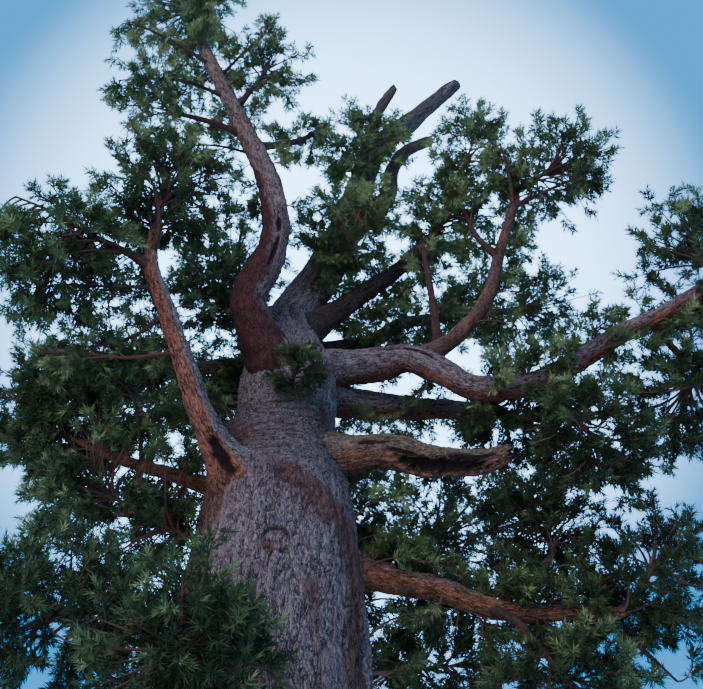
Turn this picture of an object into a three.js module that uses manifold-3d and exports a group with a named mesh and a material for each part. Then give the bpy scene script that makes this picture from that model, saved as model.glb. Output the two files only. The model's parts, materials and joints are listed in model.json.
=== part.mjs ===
// An old giant sequoia, seen from close under its crown: a thick trunk that leans off into a dead spike,
// boughs that bend and rise from it, and rounded masses of foliage held at their tips.
// Millimetres, +Z up, ground at z = 0, origin in the middle of the flat cut under the trunk.
// Headings turn from +X towards +Y, climbs are measured from the level, both in degrees.
import * as THREE from 'three';
import { mergeVertices } from 'three/addons/utils/BufferGeometryUtils.js';
import Module from 'manifold-3d';

const wasm = await Module();
wasm.setup();

// Driving sizes
const gap = 0.3; // between a limb and what carries it
const clearance = 25; // between foliage and any other limb or mass
const ownMargin = 0.03; // how much nearer a point is to its own mass's middle than to any other's
const simplifyBy = 0.05;
const goldenAngle = Math.PI * (3 - Math.sqrt(5));

const trunkSides = 28;
const flareHeight = 1900; // over which the root flare dies out
const flareLobes = [[5, 0.11, 0.6], [8, 0.05, 2.1]]; // count round the foot, depth, turn
const fluting = [[3, 0.018, 1.2], [7, 0.012, 0.4]]; // shallow folds that run up the trunk

const boughSides = 8;
const boughRingSpacing = 1300;
const leastSteps = 4; // rings along the shortest boughs, less one
const boughKnobs = 0.06; // how far its skin strays from round, as a share of the radius
const collarSwell = 0.38; // how much a bough thickens where it leaves its parent
const collarReach = 1.6; // how far that runs, in radii

const stemSides = 3;
const coreSides = 5; // of a stem that swells into a dense core
const coreBulge = 0.6; // below 1 the core is fuller towards its ends
const coreShrink = 0.85; // a core that touches a neighbour shrinks by this until it is clear
const coreLeast = 0.2; // or is left out
const stemShare = 0.8; // a stem's radius where it meets its bough's tip, as a share of the tip's
const stemTaper = 0.4; // its end radius, as a share of its root's
const stemLead = 0.3; // how far a stem keeps to its bough's line, as a share of the way to the mass's middle
const stemOverrun = 0.3; // how far it runs on past the middle, as a share of the way there
const trunkStemRadius = 100; // of a stem that springs from the trunk itself
const trunkStemBend = [250, 10]; // how far out of the bark it bends, and its climb
const twigsPerPair = 3; // twigs leave the stem where two of its rings lie close together
const pairLength = 170;
const lastPair = 0.97; // share of the stem by which the last pair has come
const leafyFrom = 0.8; // share of the way out from a mass's middle where its stem begins to bear twigs
const twigJitter = 0.5; // radians
const twigReach = 0.46; // of the way from a mass's middle to its edge
const twigRadius = 42;
const twigSpacing = 10; // between twigs of one mass that don't share a root
const twigBand = 110; // length of the end of a twig that side sprays grow from
const coreCover = 0.14; // how far past a core its twigs reach, as a share of the mass
const sprayWidth = 1.15; // of its length
const sprayRidge = 0.05; // height of its ridge, as a share of its length
const sprayOutline = [[0.34, 0.5], [0.52, 0.2]]; // share of the length, half-width as a share of the width
// A side spray points off its twig, along it and away from the mass's middle, in these shares
const [sideSwing, forwardSwing, outwardSwing] = [0.8, 0.45, 0.3];
const sprayCap = 0.5; // longest spray, as a share of its mass's half-diagonal
const sprayLeast = 400; // no spray is shorter
const reachStep = 100; // by which a spray's length is tried
const sprayShrink = 0.75; // of a spray that doesn't fit at its full length
const leastVolume = 1000; // of a twig or spray; thinner ones are left out
const boughSeed = 7919;
const firstSeed = 101;
const seedStep = 37;

// The trunk, from the ground to the blunt tip of its dead spike: height, radius, lean towards +X
const trunkStations = [
  [0, 3250, 0],
  [700, 2950, 0],
  [1600, 2720, 0],
  [3000, 2540, 0],
  [5000, 2400, -20],
  [8500, 2240, -50],
  [11400, 2070, -60],
  [13200, 1870, -130],
  [15100, 1490, -120],
  [16700, 1450, -130],
  [18000, 1390, -180],
  [19300, 1080, -300],
  [20400, 850, -270],
  [21700, 760, 180],
  [23700, 700, 950],
  [27100, 600, 1750],
  [30000, 570, 2300],
  [32600, 540, 2900],
  [35900, 440, 4900],
  [39820, 330, 7250],
];

// Boughs: what carries each, how far along that (height on the trunk, share of the length on a bough),
// the radius at its root and tip, and its legs as length, heading and climb.
// A bough with a break is two pieces that meet there, named after it and its outer part.
const boughs = [
  { name: 'leader_left', on: 'trunk', at: 16600, radius: [600, 170],
    legs: [[1450, 246, 39], [1500, 232, 47], [850, 264, 62], [1400, 317, 59], [1350, 284, 73],
      [2100, 225, 74], [2100, 212, 64], [2650, 207, 65], [3300, 207, 66], [3000, 204, 71]] },
  { name: 'leader_left_fork', on: 'leader_left', at: 0.52, radius: [140, 80],
    legs: [[1900, 11, 36], [2500, 26, 65]] },
  { name: 'leader_left_inner', on: 'leader_left', at: 0.64, radius: [120, 90],
    legs: [[500, 330, 35], [700, 330, 60]] },
  { name: 'leader_left_outer', on: 'leader_left', at: 0.55, radius: [130, 90],
    legs: [[1300, 195, 20], [1200, 190, 12]] },
  { name: 'left_high', on: 'trunk', at: 12400, radius: [410, 190],
    legs: [[1900, 230, 25], [1350, 225, 42], [1650, 223, 58], [2000, 219, 61], [1700, 212, 64],
      [1500, 240, 80]] },
  { name: 'left_high_fork', on: 'left_high', at: 0.84, radius: [140, 90],
    legs: [[800, 204, 19], [1000, 204, 12]] },
  { name: 'left_low', on: 'trunk', at: 13300, radius: [280, 110],
    legs: [[1950, 174, 15], [1350, 175, 23], [1200, 185, 15], [1100, 190, 20], [1100, 180, 26]] },
  { name: 'left_back', on: 'trunk', at: 18900, radius: [340, 190],
    legs: [[1700, 141, 19], [2700, 151, 24], [2300, 144, 27]] },
  { name: 'front_low', on: 'trunk', at: 9400, radius: [280, 120],
    legs: [[3300, 247, -24], [1800, 283, -28]] },
  { name: 'right_high', outer: 'right_outer', breakAt: 0.44, on: 'trunk', at: 18050, radius: [500, 220],
    legs: [[2700, 356, 3], [1150, 339, -8], [1150, 340, -41], [1400, 341, -49], [1250, 346, -12],
      [1350, 347, 16], [2050, 347, 30], [1550, 348, 22], [2000, 347, 31]] },
  { name: 'right_riser', on: 'right_high', at: 0.29, radius: [270, 150],
    legs: [[1600, 336, 26], [1500, 330, 48], [2000, 327, 69], [2650, 335, 69]] },
  { name: 'right_riser_fork', on: 'right_riser', at: 0.09, radius: [150, 90],
    legs: [[1750, 259, 69], [2200, 250, 75]] },
  { name: 'right_riser_side', on: 'right_riser', at: 0.62, radius: [120, 85],
    legs: [[1200, 190, 60], [1500, 195, 80]] },
  { name: 'right_mid', on: 'trunk', at: 17400, radius: [480, 270],
    legs: [[1650, 29, 7], [2100, 14, 5], [1300, 355, -8], [1250, 355, -6]] },
  { name: 'right_hanging', on: 'right_high', at: 0.545, radius: [150, 100],
    legs: [[900, 330, -45], [700, 350, -70]] },
  { name: 'right_far', on: 'right_high', at: 0.83, radius: [120, 85],
    legs: [[900, 40, -40], [700, 30, -60]] },
  { name: 'right_broken', on: 'trunk', at: 14500, radius: [520, 250], jagged: 420, hollow: true,
    legs: [[2850, 341, -8], [1400, 347, -23], [1250, 351, -9], [900, 349, 14]] },
  { name: 'right_low', on: 'trunk', at: 12000, radius: [440, 160],
    legs: [[1950, 6, -21], [1250, 355, -18], [1100, 355, -17], [1100, 0, -22], [1150, 0, -7],
      [1400, 0, 2]] },
  { name: 'right_low_rise', on: 'right_low', at: 0.76, radius: [130, 90],
    legs: [[900, 20, 45], [800, 10, 60]] },
  { name: 'right_low_droop', on: 'right_low', at: 0.68, radius: [120, 85],
    legs: [[800, 330, -40], [600, 340, -60]] },
  { name: 'top_right', on: 'trunk', at: 19300, radius: [460, 210],
    legs: [[2350, 353, 43], [1350, 340, 31], [1450, 341, 33], [1100, 338, 45]] },
  { name: 'top_right_back', on: 'trunk', at: 19200, radius: [340, 210],
    legs: [[1300, 50, 33], [2300, 11, 25], [1850, 19, 49], [1850, 14, 28]] },
  { name: 'snag_hook', on: 'trunk', at: 25200, radius: [390, 250], jagged: 120,
    legs: [[3050, 348, 52], [1750, 315, 76], [1550, 342, 65], [1350, 346, 26]] },
  { name: 'snag_short', on: 'trunk', at: 31600, radius: [340, 240], jagged: 120,
    legs: [[3700, 320, 82], [2500, 333, 65]] },
];

// The rotten hollow in the underside of the broken bough: its place along the bough, its half-sizes along,
// across and up, and which way and how far its middle lies off the bough's own, as a share of the radius
const hollow = { at: 0.76, half: [1050, 240, 230], out: 0.85, heading: 262, climb: -38 };

// Boughs on the side away from the viewer, spread by the golden angle between two headings
const backBoughs = { count: 4, lowest: 12600, rise: 3100, heading: 38, sweep: 104, length: 5000,
  shorten: 350, climb: 16, steepen: 8, radius: [360, 150] };

// Foliage masses: what holds each, its middle, its half-sizes, how many twigs spring from its stem,
// and the share of its size that a dense core fills
const masses = [
  { name: 'crown_left_top', on: 'leader_left',
    middle: [-5300, -5600, 34700], half: [3300, 2600, 3900], twigs: 14 },
  { name: 'crown_left_outer', on: 'leader_left_outer',
    middle: [-5300, -5000, 27500], half: [2300, 2000, 2700], twigs: 9 },
  { name: 'crown_left_inner', on: 'leader_left_inner',
    middle: [-1500, -4700, 30300], half: [2200, 1900, 3100], twigs: 11 },
  { name: 'crown_left_high', on: 'left_high',
    middle: [-3900, -4300, 21800], half: [2900, 2500, 2600], twigs: 12, core: 0.5 },
  { name: 'crown_left_edge', on: 'left_high_fork',
    middle: [-6300, -4400, 18300], half: [2600, 2200, 2900], twigs: 11 },
  { name: 'crown_left_low', on: 'left_low',
    middle: [-7000, 300, 16900], half: [3100, 2500, 3100], twigs: 12 },
  { name: 'crown_left_under', on: 'trunk', at: 11300, heading: 196,
    middle: [-4300, -700, 12800], half: [2900, 2300, 2700], twigs: 12 },
  { name: 'crown_left_back', on: 'left_back',
    middle: [-6000, 3500, 21900], half: [4000, 3200, 4000], twigs: 15, core: 0.5 },
  { name: 'crown_front', on: 'front_low',
    middle: [-600, -5800, 6400], half: [1900, 1500, 1900], twigs: 10, core: 0.45 },
  { name: 'crown_front_left', on: 'trunk', at: 8600, heading: 222,
    middle: [-3600, -3900, 8000], half: [2300, 1800, 1900], twigs: 10, core: 0.45 },
  { name: 'crown_right_outer', on: 'right_high',
    middle: [12500, -3000, 20100], half: [2800, 2500, 3100], twigs: 10 },
  { name: 'crown_right_riser', on: 'right_riser',
    middle: [9000, -3000, 25400], half: [2900, 2500, 2800], twigs: 12 },
  { name: 'crown_right_side', on: 'right_riser_side',
    middle: [6300, -3000, 27200], half: [2050, 1900, 2200], twigs: 9 },
  { name: 'crown_right_mid', on: 'right_mid',
    middle: [7300, 1200, 17000], half: [3300, 2300, 2500], twigs: 11 },
  { name: 'crown_right_hanging', on: 'right_hanging',
    middle: [7900, -2000, 13500], half: [2200, 1900, 2200], twigs: 10, core: 0.5 },
  { name: 'crown_right_far', on: 'right_far',
    middle: [11100, -1000, 16000], half: [2500, 2200, 2700], twigs: 11 },
  { name: 'crown_right_low', on: 'right_low',
    middle: [9200, 100, 11300], half: [2500, 2200, 2400], twigs: 11 },
  { name: 'crown_right_rise', on: 'right_low_rise',
    middle: [6900, 1300, 13400], half: [2400, 2200, 1900], twigs: 8 },
  { name: 'crown_right_droop', on: 'right_low_droop',
    middle: [6300, -900, 8000], half: [2000, 1700, 1500], twigs: 9 },
  { name: 'crown_right_lowest', on: 'trunk', at: 8800, heading: 32,
    middle: [4500, 2800, 10100], half: [2400, 2100, 1900], twigs: 9 },
  { name: 'crown_top_right', on: 'top_right',
    middle: [5200, -1700, 24500], half: [2600, 2200, 2100], twigs: 10, core: 0.45 },
  { name: 'crown_top_back', on: 'top_right_back',
    middle: [8300, 2600, 24300], half: [3700, 2700, 2500], twigs: 13 },
  { name: 'crown_spike', on: 'trunk', at: 27500, heading: 262,
    middle: [2300, -1400, 30200], half: [2900, 2000, 3600], twigs: 14 },
  { name: 'crown_heart', on: 'trunk', at: 21600, heading: 292,
    middle: [1800, -2000, 23100], half: [2400, 1900, 2600], twigs: 10 },
  { name: 'crown_heart_left', on: 'trunk', at: 20200, heading: 178,
    middle: [-3300, 400, 23000], half: [2200, 2000, 2700], twigs: 11 },
  { name: 'trunk_tuft', on: 'trunk', at: 15800, heading: 280,
    middle: [300, -2050, 16100], half: [1200, 900, 850], twigs: 6 },
];
// The masses on the boughs of the far side: how far their middles lie beyond and above the bough's tip
const backMass = { half: [3700, 3300, 3300], twigs: 16, beyond: 2600, lift: 700 };

const radians = THREE.MathUtils.degToRad;
const up = new THREE.Vector3(0, 0, 1);

// Even random numbers from 0 to 1 that are the same on every run
function seeded(seed) {
  let state = seed;
  return () => {
    state = (state * 16807) % 2147483647;
    return state / 2147483647;
  };
}

function direction(heading, climb) {
  const level = Math.cos(radians(climb));
  return new THREE.Vector3(level * Math.cos(radians(heading)), level * Math.sin(radians(heading)),
    Math.sin(radians(climb)));
}

function smooth(points) {
  return new THREE.CatmullRomCurve3(points, false, 'catmullrom', 0.5);
}

// Rings of points round a path, each square to it; turned along without twist
function ringsAlong(path, shares, sides, radiusAt) {
  const rings = [];
  let side = new THREE.Vector3(1, 0, 0);
  for (const [step, share] of shares.entries()) {
    const middle = path.getPointAt(share);
    const along = path.getTangentAt(share);
    side = side.clone().addScaledVector(along, -side.dot(along)).normalize();
    const across = new THREE.Vector3().crossVectors(along, side);
    const ring = [];
    for (let k = 0; k < sides; k++) {
      const turn = 2 * Math.PI * k / sides;
      const radius = radiusAt(share, step, k);
      ring.push(middle.clone().addScaledVector(side, radius * Math.cos(turn))
        .addScaledVector(across, radius * Math.sin(turn)));
    }
    ring.middle = middle;
    ring.along = along;
    rings.push(ring);
  }
  return rings;
}

// A closed skin over rings. A fan closes each end, from the ring's middle where those are given, because
// the lobed foot of the trunk and the knobbly end of a bough are not convex
function skinOf(rings, middles = null) {
  const sides = rings[0].length;
  const points = rings.flat();
  const faces = [];
  for (let r = 0; r + 1 < rings.length; r++) {
    for (let k = 0; k < sides; k++) {
      const a = r * sides + k;
      const b = r * sides + (k + 1) % sides;
      faces.push([a, b, b + sides], [a, b + sides, a + sides]);
    }
  }
  const last = (rings.length - 1) * sides;
  if (middles) {
    const [foot, tip] = [points.push(middles[0]) - 1, points.push(middles[1]) - 1];
    for (let k = 0; k < sides; k++) {
      faces.push([foot, (k + 1) % sides, k], [tip, last + k, last + (k + 1) % sides]);
    }
  } else {
    for (let k = 1; k + 1 < sides; k++) {
      faces.push([0, k + 1, k], [last, last + k, last + k + 1]);
    }
  }
  return { points, faces };
}

function skin(rings) {
  const { points, faces } = skinOf(rings, [rings[0].middle, rings.at(-1).middle]);
  return geometryOf(points, faces);
}

function geometryOf(points, faces) {
  const geometry = new THREE.BufferGeometry();
  geometry.setAttribute('position', new THREE.Float32BufferAttribute(points.flatMap((p) => p.toArray()), 3));
  geometry.setIndex(faces.flat());
  return geometry;
}

function solidOf(geometry) {
  const plain = geometry.clone();
  plain.deleteAttribute('normal');
  plain.deleteAttribute('uv');
  const merged = mergeVertices(plain, 1e-3);
  return new wasm.Manifold(new wasm.Mesh({
    numProp: 3,
    vertProperties: new Float32Array(merged.attributes.position.array),
    triVerts: new Uint32Array(merged.index.array),
  }));
}

// The largest of the bodies that a cut or a join leaves; scraps and sealed hollows go
function largestBody(solid) {
  const bodies = solid.decompose();
  return bodies.reduce((best, body) => (body.volume() > best.volume() ? body : best));
}

// The trunk
const trunkPath = smooth(trunkStations.map(([height, , lean]) => new THREE.Vector3(lean, 0, height)));

// Share of the trunk's path at which it reaches a height
function trunkShare(height) {
  let low = 0;
  let high = 1;
  for (let i = 0; i < 40; i++) {
    const middle = (low + high) / 2;
    if (trunkPath.getPointAt(middle).z < height) low = middle;
    else high = middle;
  }
  return (low + high) / 2;
}

function trunkRadius(height) {
  const next = Math.max(1, trunkStations.findIndex(([level]) => level >= height));
  const [h0, r0] = trunkStations[next - 1];
  const [h1, r1] = trunkStations[next];
  return THREE.MathUtils.mapLinear(height, h0, h1, r0, r1);
}

function trunkFolds(height, turn) {
  const flare = Math.exp(-height / flareHeight);
  const lobes = flareLobes.reduce((sum, [n, depth, at]) => sum + depth * Math.cos(n * turn + at), 0);
  const folds = fluting.reduce((sum, [n, depth, at]) => sum + depth * Math.cos(n * turn + at), 0);
  return 1 + lobes * flare + folds;
}

function trunkSolid(grow) {
  const shares = trunkStations.map(([height]) => trunkShare(height));
  const heights = trunkStations.map(([height]) => height);
  const rings = [];
  let side = new THREE.Vector3(1, 0, 0);
  shares.forEach((share, i) => {
    const middle = i ? trunkPath.getPointAt(share) : new THREE.Vector3();
    const along = i ? trunkPath.getTangentAt(share) : up.clone();
    side = side.clone().addScaledVector(along, -side.dot(along)).normalize();
    const across = new THREE.Vector3().crossVectors(along, side);
    const ring = [];
    for (let k = 0; k < trunkSides; k++) {
      const turn = 2 * Math.PI * k / trunkSides;
      const radius = trunkStations[i][1] * trunkFolds(heights[i], turn) + grow;
      ring.push(middle.clone().addScaledVector(side, radius * Math.cos(turn))
        .addScaledVector(across, radius * Math.sin(turn)));
    }
    ring.middle = middle;
    rings.push(ring);
  });
  return solidOf(skin(rings));
}

// Boughs
const limbs = new Map(); // by name: its path, its radius along that, its solid grown by the gap, and its tip

function backBoughList() {
  const list = [];
  for (let i = 0; i < backBoughs.count; i++) {
    const turn = (i * THREE.MathUtils.radToDeg(goldenAngle)) % backBoughs.sweep;
    const length = backBoughs.length - i * backBoughs.shorten;
    const heading = backBoughs.heading + turn;
    const climb = backBoughs.climb + i * backBoughs.steepen;
    list.push({ name: `back_${i + 1}`, on: 'trunk', at: backBoughs.lowest + i * backBoughs.rise,
      radius: backBoughs.radius,
      legs: [[length * 0.45, heading, climb * 0.4], [length * 0.3, heading + 8, climb],
        [length * 0.25, heading + 14, climb * 1.6]] });
  }
  return list;
}

function rootOf(bough) {
  if (bough.on === 'trunk') return trunkPath.getPointAt(trunkShare(bough.at));
  return limbs.get(bough.on).path.getPointAt(bough.at);
}

function boughRings(bough, path, grow) {
  const length = path.getLength();
  const steps = Math.max(leastSteps, Math.round(length / boughRingSpacing));
  const random = seeded(bough.name.length * boughSeed + Math.round(bough.radius[0]));
  const knobs = Array.from({ length: (steps + 1) * boughSides }, () => 1 + boughKnobs * (2 * random() - 1));
  const parentRadius = bough.on === 'trunk' ? trunkRadius(bough.at) : limbs.get(bough.on).radiusAt(bough.at);
  const shares = Array.from({ length: steps + 1 }, (_, step) => step / steps);
  const rings = ringsAlong(path, shares, boughSides, (share, step, k) => {
    const out = share * length - parentRadius;
    const collar = 1 + collarSwell * Math.exp(-Math.max(0, out) / (collarReach * bough.radius[0]));
    return THREE.MathUtils.lerp(bough.radius[0], bough.radius[1], share) * collar
      * knobs[step * boughSides + k] + grow;
  });
  if (bough.jagged) {
    rings.at(-1).forEach((point, k) => {
      point.addScaledVector(rings.at(-1).along, bough.jagged * (k % 3 === 0 ? 1 : -0.5) * random());
    });
  }
  return rings;
}

function makeBough(bough) {
  const points = [rootOf(bough)];
  for (const [length, heading, climb] of bough.legs) {
    points.push(points.at(-1).clone().addScaledVector(direction(heading, climb), length));
  }
  const path = smooth(points);
  const radiusAt = (share) => THREE.MathUtils.lerp(bough.radius[0], bough.radius[1], share);
  const rings = boughRings(bough, path, 0);
  const grown = solidOf(skin(boughRings(bough, path, gap)));
  limbs.set(bough.name, { path, radiusAt, grown, tipRing: rings.at(-1) });
  if (!bough.outer) {
    const whole = solidOf(skin(rings));
    const left = bough.hollow ? whole.subtract(hollowSolid(path, radiusAt)) : whole;
    return [[bough.name, cutClear(left, bough.name)]];
  }
  const at = Math.round(bough.breakAt * (rings.length - 1));
  const moved = (point) => point.clone().addScaledVector(rings[at].along, gap);
  const firstOuter = Object.assign(rings[at].map(moved), { middle: moved(rings[at].middle) });
  return [
    [bough.name, cutClear(solidOf(skin(rings.slice(0, at + 1))), bough.name)],
    [bough.outer, solidOf(skin([firstOuter, ...rings.slice(at + 1)]))],
  ];
}

function hollowSolid(path, radiusAt) {
  const shape = new THREE.IcosahedronGeometry(1, 1).scale(...hollow.half);
  shape.applyQuaternion(new THREE.Quaternion()
    .setFromUnitVectors(new THREE.Vector3(1, 0, 0), path.getTangentAt(hollow.at)));
  const middle = path.getPointAt(hollow.at)
    .addScaledVector(direction(hollow.heading, hollow.climb), hollow.out * radiusAt(hollow.at));
  return solidOf(shape.translate(...middle));
}

// Cuts a limb off the trunk and off every limb made before it, leaving the gap
function cutClear(solid, name) {
  let cut = solid.subtract(limbs.get('trunk').grown);
  for (const [other, limb] of limbs) {
    if (other === 'trunk' || other === name) continue;
    if (boxesMeet(cut, limb.grown)) cut = cut.subtract(limb.grown);
  }
  return largestBody(cut).simplify(simplifyBy);
}

function boxesMeet(a, b, reach = 0) {
  const p = a.boundingBox();
  const q = b.boundingBox();
  return [0, 1, 2].every((i) => p.min[i] - reach < q.max[i] && q.min[i] - reach < p.max[i]);
}

// Foliage
function insideShare(mass, point) {
  const [x, y, z] = [0, 1, 2].map((i) => (point.getComponent(i) - mass.middle[i]) / mass.half[i]);
  return Math.hypot(x, y, z);
}

// A mass keeps to its own ellipsoid, and there to the side of it that is nearer to its own middle
function ownSpace(mass, point) {
  const own = insideShare(mass, point);
  if (own > 1) return false;
  return allMasses.every((other) => other === mass || insideShare(other, point) > own + ownMargin);
}

// A closed skin out of whose faces three-sided twigs and sprays grow
class Growth {
  constructor(rings) {
    const { points, faces } = skinOf(rings);
    this.points = points;
    this.faces = faces;
    this.users = points.map(() => []); // for each point, the pieces that have grown from it
  }

  add(face) {
    return this.faces.push(face) - 1;
  }

  corners(id) {
    return this.faces[id].map((i) => this.points[i]);
  }

  // Opens a face and carries it on through rings of three points, to an end face or a point
  extend(id, rings, point = null) {
    let base = this.faces[id];
    this.faces[id] = null;
    let band = [];
    for (const ring of rings) {
      const first = this.points.length;
      this.points.push(...matchTurn(base.map((i) => this.points[i]), ring));
      this.users.push([], [], []);
      const next = [first, first + 1, first + 2];
      band = [];
      for (let k = 0; k < 3; k++) {
        const m = (k + 1) % 3;
        band.push(this.add([base[k], base[m], next[m]]), this.add([base[k], next[m], next[k]]));
      }
      base = next;
    }
    if (!point) return { band, end: this.add(base) };
    const last = this.points.push(point) - 1;
    this.users.push([]);
    for (let k = 0; k < 3; k++) this.add([base[k], base[(k + 1) % 3], last]);
    return { band };
  }

  solid() {
    return solidOf(geometryOf(this.points, this.faces.filter(Boolean)));
  }
}

// The ring's points in the turn that lies nearest to the corners they join
function matchTurn(corners, ring) {
  const turned = (by) => ring.map((_, k) => ring[(k + by) % 3]);
  const far = (points) => points.reduce((sum, point, k) => sum + point.distanceTo(corners[k]), 0);
  return [0, 1, 2].map(turned).reduce((best, points) => (far(points) < far(best) ? points : best));
}

function acrossOf(along, roll) {
  const steep = Math.abs(along.z) > 0.9;
  const side = new THREE.Vector3().crossVectors(along, steep ? new THREE.Vector3(1, 0, 0) : up);
  side.normalize().applyAxisAngle(along, roll);
  return [side, new THREE.Vector3().crossVectors(along, side)];
}

// A three-sided ring: two edges of a blade and its ridge
function bladeRing(middle, along, roll, halfWidth, ridge) {
  const [side, face] = acrossOf(along, roll);
  return [
    middle.clone().addScaledVector(side, halfWidth).addScaledVector(face, -ridge / 2),
    middle.clone().addScaledVector(face, ridge),
    middle.clone().addScaledVector(side, -halfWidth).addScaledVector(face, -ridge / 2),
  ];
}

function twigRings(from, to) {
  const along = to.clone().sub(from).normalize();
  const bandStart = to.clone().addScaledVector(along, -twigBand);
  return [bandStart, to].map((middle) => bladeRing(middle, along, 0, twigRadius, twigRadius));
}

// A spray of needles: a ridged blade with a barb and a notch on each side, and a point
function sprayRings(from, along, roll, length) {
  return sprayOutline.map(([out, halfWidth]) => bladeRing(from.clone().addScaledVector(along, out * length),
    along, roll, halfWidth * length * sprayWidth, sprayRidge * length));
}

function stemPath(mass) {
  const middle = new THREE.Vector3(...mass.middle);
  if (mass.on === 'trunk') {
    const start = trunkPath.getPointAt(trunkShare(mass.at));
    const [bendOut, climb] = trunkStemBend;
    const out = trunkRadius(mass.at) + bendOut;
    const bend = start.clone().addScaledVector(direction(mass.heading, climb), out);
    const end = middle.clone().addScaledVector(middle.clone().sub(bend), stemOverrun);
    return smooth([start, bend, middle, end]);
  }
  const holder = limbs.get(mass.on);
  const start = holder.tipRing.middle.clone().addScaledVector(holder.tipRing.along, gap);
  const lead = start.clone().addScaledVector(holder.tipRing.along, start.distanceTo(middle) * stemLead);
  const end = middle.clone().addScaledVector(middle.clone().sub(lead), stemOverrun);
  return smooth([start, lead, middle, end]);
}

// Rings of the stem: one at its root, then close pairs that the twigs leave from
function stemRings(mass, path, thick, core) {
  const length = path.getLength();
  const leafy = leafyShare(mass, path);
  const pairs = Math.ceil(mass.twigs / twigsPerPair);
  const shares = [0];
  for (let i = 0; i < pairs; i++) {
    const share = THREE.MathUtils.lerp(leafy, lastPair, (i + 0.5) / pairs);
    const spread = core ? (1 - leafy) / pairs / 2 - 0.01 : pairLength / length / 2;
    shares.push(share - spread, share + spread);
  }
  const meanHalf = (mass.half[0] + mass.half[1] + mass.half[2]) / 3;
  const rings = ringsAlong(path, shares, core ? coreSides : stemSides, (share) => {
    const bulge = Math.max(0, Math.sin(Math.PI * (share - leafy) / (1 - leafy)));
    return THREE.MathUtils.lerp(thick, thick * stemTaper, share) + core * meanHalf * bulge ** coreBulge;
  });
  if (mass.on !== 'trunk') {
    const { along, middle } = limbs.get(mass.on).tipRing;
    rings[0].forEach((point) => point.addScaledVector(along, gap - point.clone().sub(middle).dot(along)));
  }
  return rings;
}

// Share of the stem at which it is well inside its mass
function leafyShare(mass, path) {
  for (let share = 0.05; share < 0.6; share += 0.02) {
    if (insideShare(mass, path.getPointAt(share)) < leafyFrom) return share;
  }
  return 0.6;
}

function growMass(mass, obstacles, seed) {
  const random = seeded(seed);
  const path = stemPath(mass);
  const thick = mass.on === 'trunk' ? trunkStemRadius : limbs.get(mass.on).radiusAt(1) * stemShare;
  const free = (solid) => obstacles.every((other) => !boxesMeet(solid, other, clearance)
    || solid.minGap(other, clearance) >= clearance);
  let core = mass.core || 0;
  while (core && !free(new Growth(stemRings(mass, path, thick, core).slice(1)).solid())) {
    core = core > coreLeast ? core * coreShrink : 0;
  }
  const rings = stemRings(mass, path, thick, core);
  const growth = new Growth(rings);
  const sides = rings[0].length;
  const walls = (rings.length - 1) * 2 * sides;
  // The faces twigs may grow from: the walls past the first band, and the far end
  const stemFaces = growth.faces.map((_, id) => id)
    .filter((id) => id >= 2 * sides && (id < walls || (id - walls) % 2 === 1));
  const stem = growth.solid();
  const pieces = [stem];
  const half = new THREE.Vector3(...mass.half);
  const middle = new THREE.Vector3(...mass.middle);

  const tryPiece = (id, rings, point) => {
    const trial = new Growth([growth.corners(id)]);
    trial.extend(1, rings, point);
    const inside = [...rings.flat(), point].every((p) => !p || ownSpace(mass, p));
    if (!inside) return null;
    const solid = trial.solid();
    if (solid.volume() < leastVolume || !free(solid)) return null;
    const near = growth.faces[id].flatMap((corner) => growth.users[corner]);
    const clear = pieces.every((other) => !boxesMeet(solid, other)
      || (near.includes(other) || other === stem ? solid.intersect(other).volume() < 1
        : solid.minGap(other, twigSpacing) >= twigSpacing));
    if (!clear) return null;
    pieces.push(solid);
    growth.faces[id].forEach((corner) => growth.users[corner].push(solid));
    const first = growth.points.length;
    const grown = growth.extend(id, rings, point);
    growth.users.slice(first).forEach((users) => users.push(solid));
    return grown;
  };
  const reachOut = (from, along) => {
    let length = 0;
    while (ownSpace(mass, from.clone().addScaledVector(along, length + reachStep))) length += reachStep;
    return Math.min(length, half.length() * sprayCap);
  };
  const addSpray = (id, way) => {
    const corners = growth.corners(id);
    const from = corners[0].clone().add(corners[1]).add(corners[2]).divideScalar(3);
    const length = reachOut(from, way);
    if (length < sprayLeast) return;
    const roll = random() * Math.PI;
    for (const share of [1, sprayShrink]) {
      const rings = sprayRings(from, way, roll, length * share);
      if (tryPiece(id, rings, from.clone().addScaledVector(way, length * share))) return;
    }
  };

  for (let i = 0; i < mass.twigs; i++) {
    const lift = 1 - 2 * (i + 0.5) / mass.twigs;
    const ring = Math.sqrt(1 - lift * lift);
    const turn = i * goldenAngle + random() * twigJitter;
    const outward = new THREE.Vector3(ring * Math.cos(turn), ring * Math.sin(turn), lift);
    const reach = Math.max(twigReach, core + coreCover);
    const end = outward.clone().multiply(half).multiplyScalar(reach).add(middle);
    const id = bestFace(growth, stemFaces, end);
    if (id === null) continue;
    const root = growth.corners(id)[0];
    const twig = tryPiece(id, twigRings(root, end));
    if (!twig) continue;
    const along = end.clone().sub(root).normalize();
    addSpray(twig.end, along.clone().lerp(outward, 0.5).normalize());
    const sideFaces = twig.band.filter((_, k) => k % 2 === 0);
    for (const side of sideFaces) {
      const way = faceNormal(growth, side).multiplyScalar(sideSwing).addScaledVector(along, forwardSwing)
        .addScaledVector(outward, outwardSwing).normalize();
      addSpray(side, way);
    }
  }
  if (mass.on !== 'trunk') return growth.solid();
  return largestBody(growth.solid().subtract(limbs.get('trunk').grown));
}

function faceNormal(growth, id) {
  const [a, b, c] = growth.corners(id);
  return b.clone().sub(a).cross(c.clone().sub(a)).normalize();
}

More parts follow.
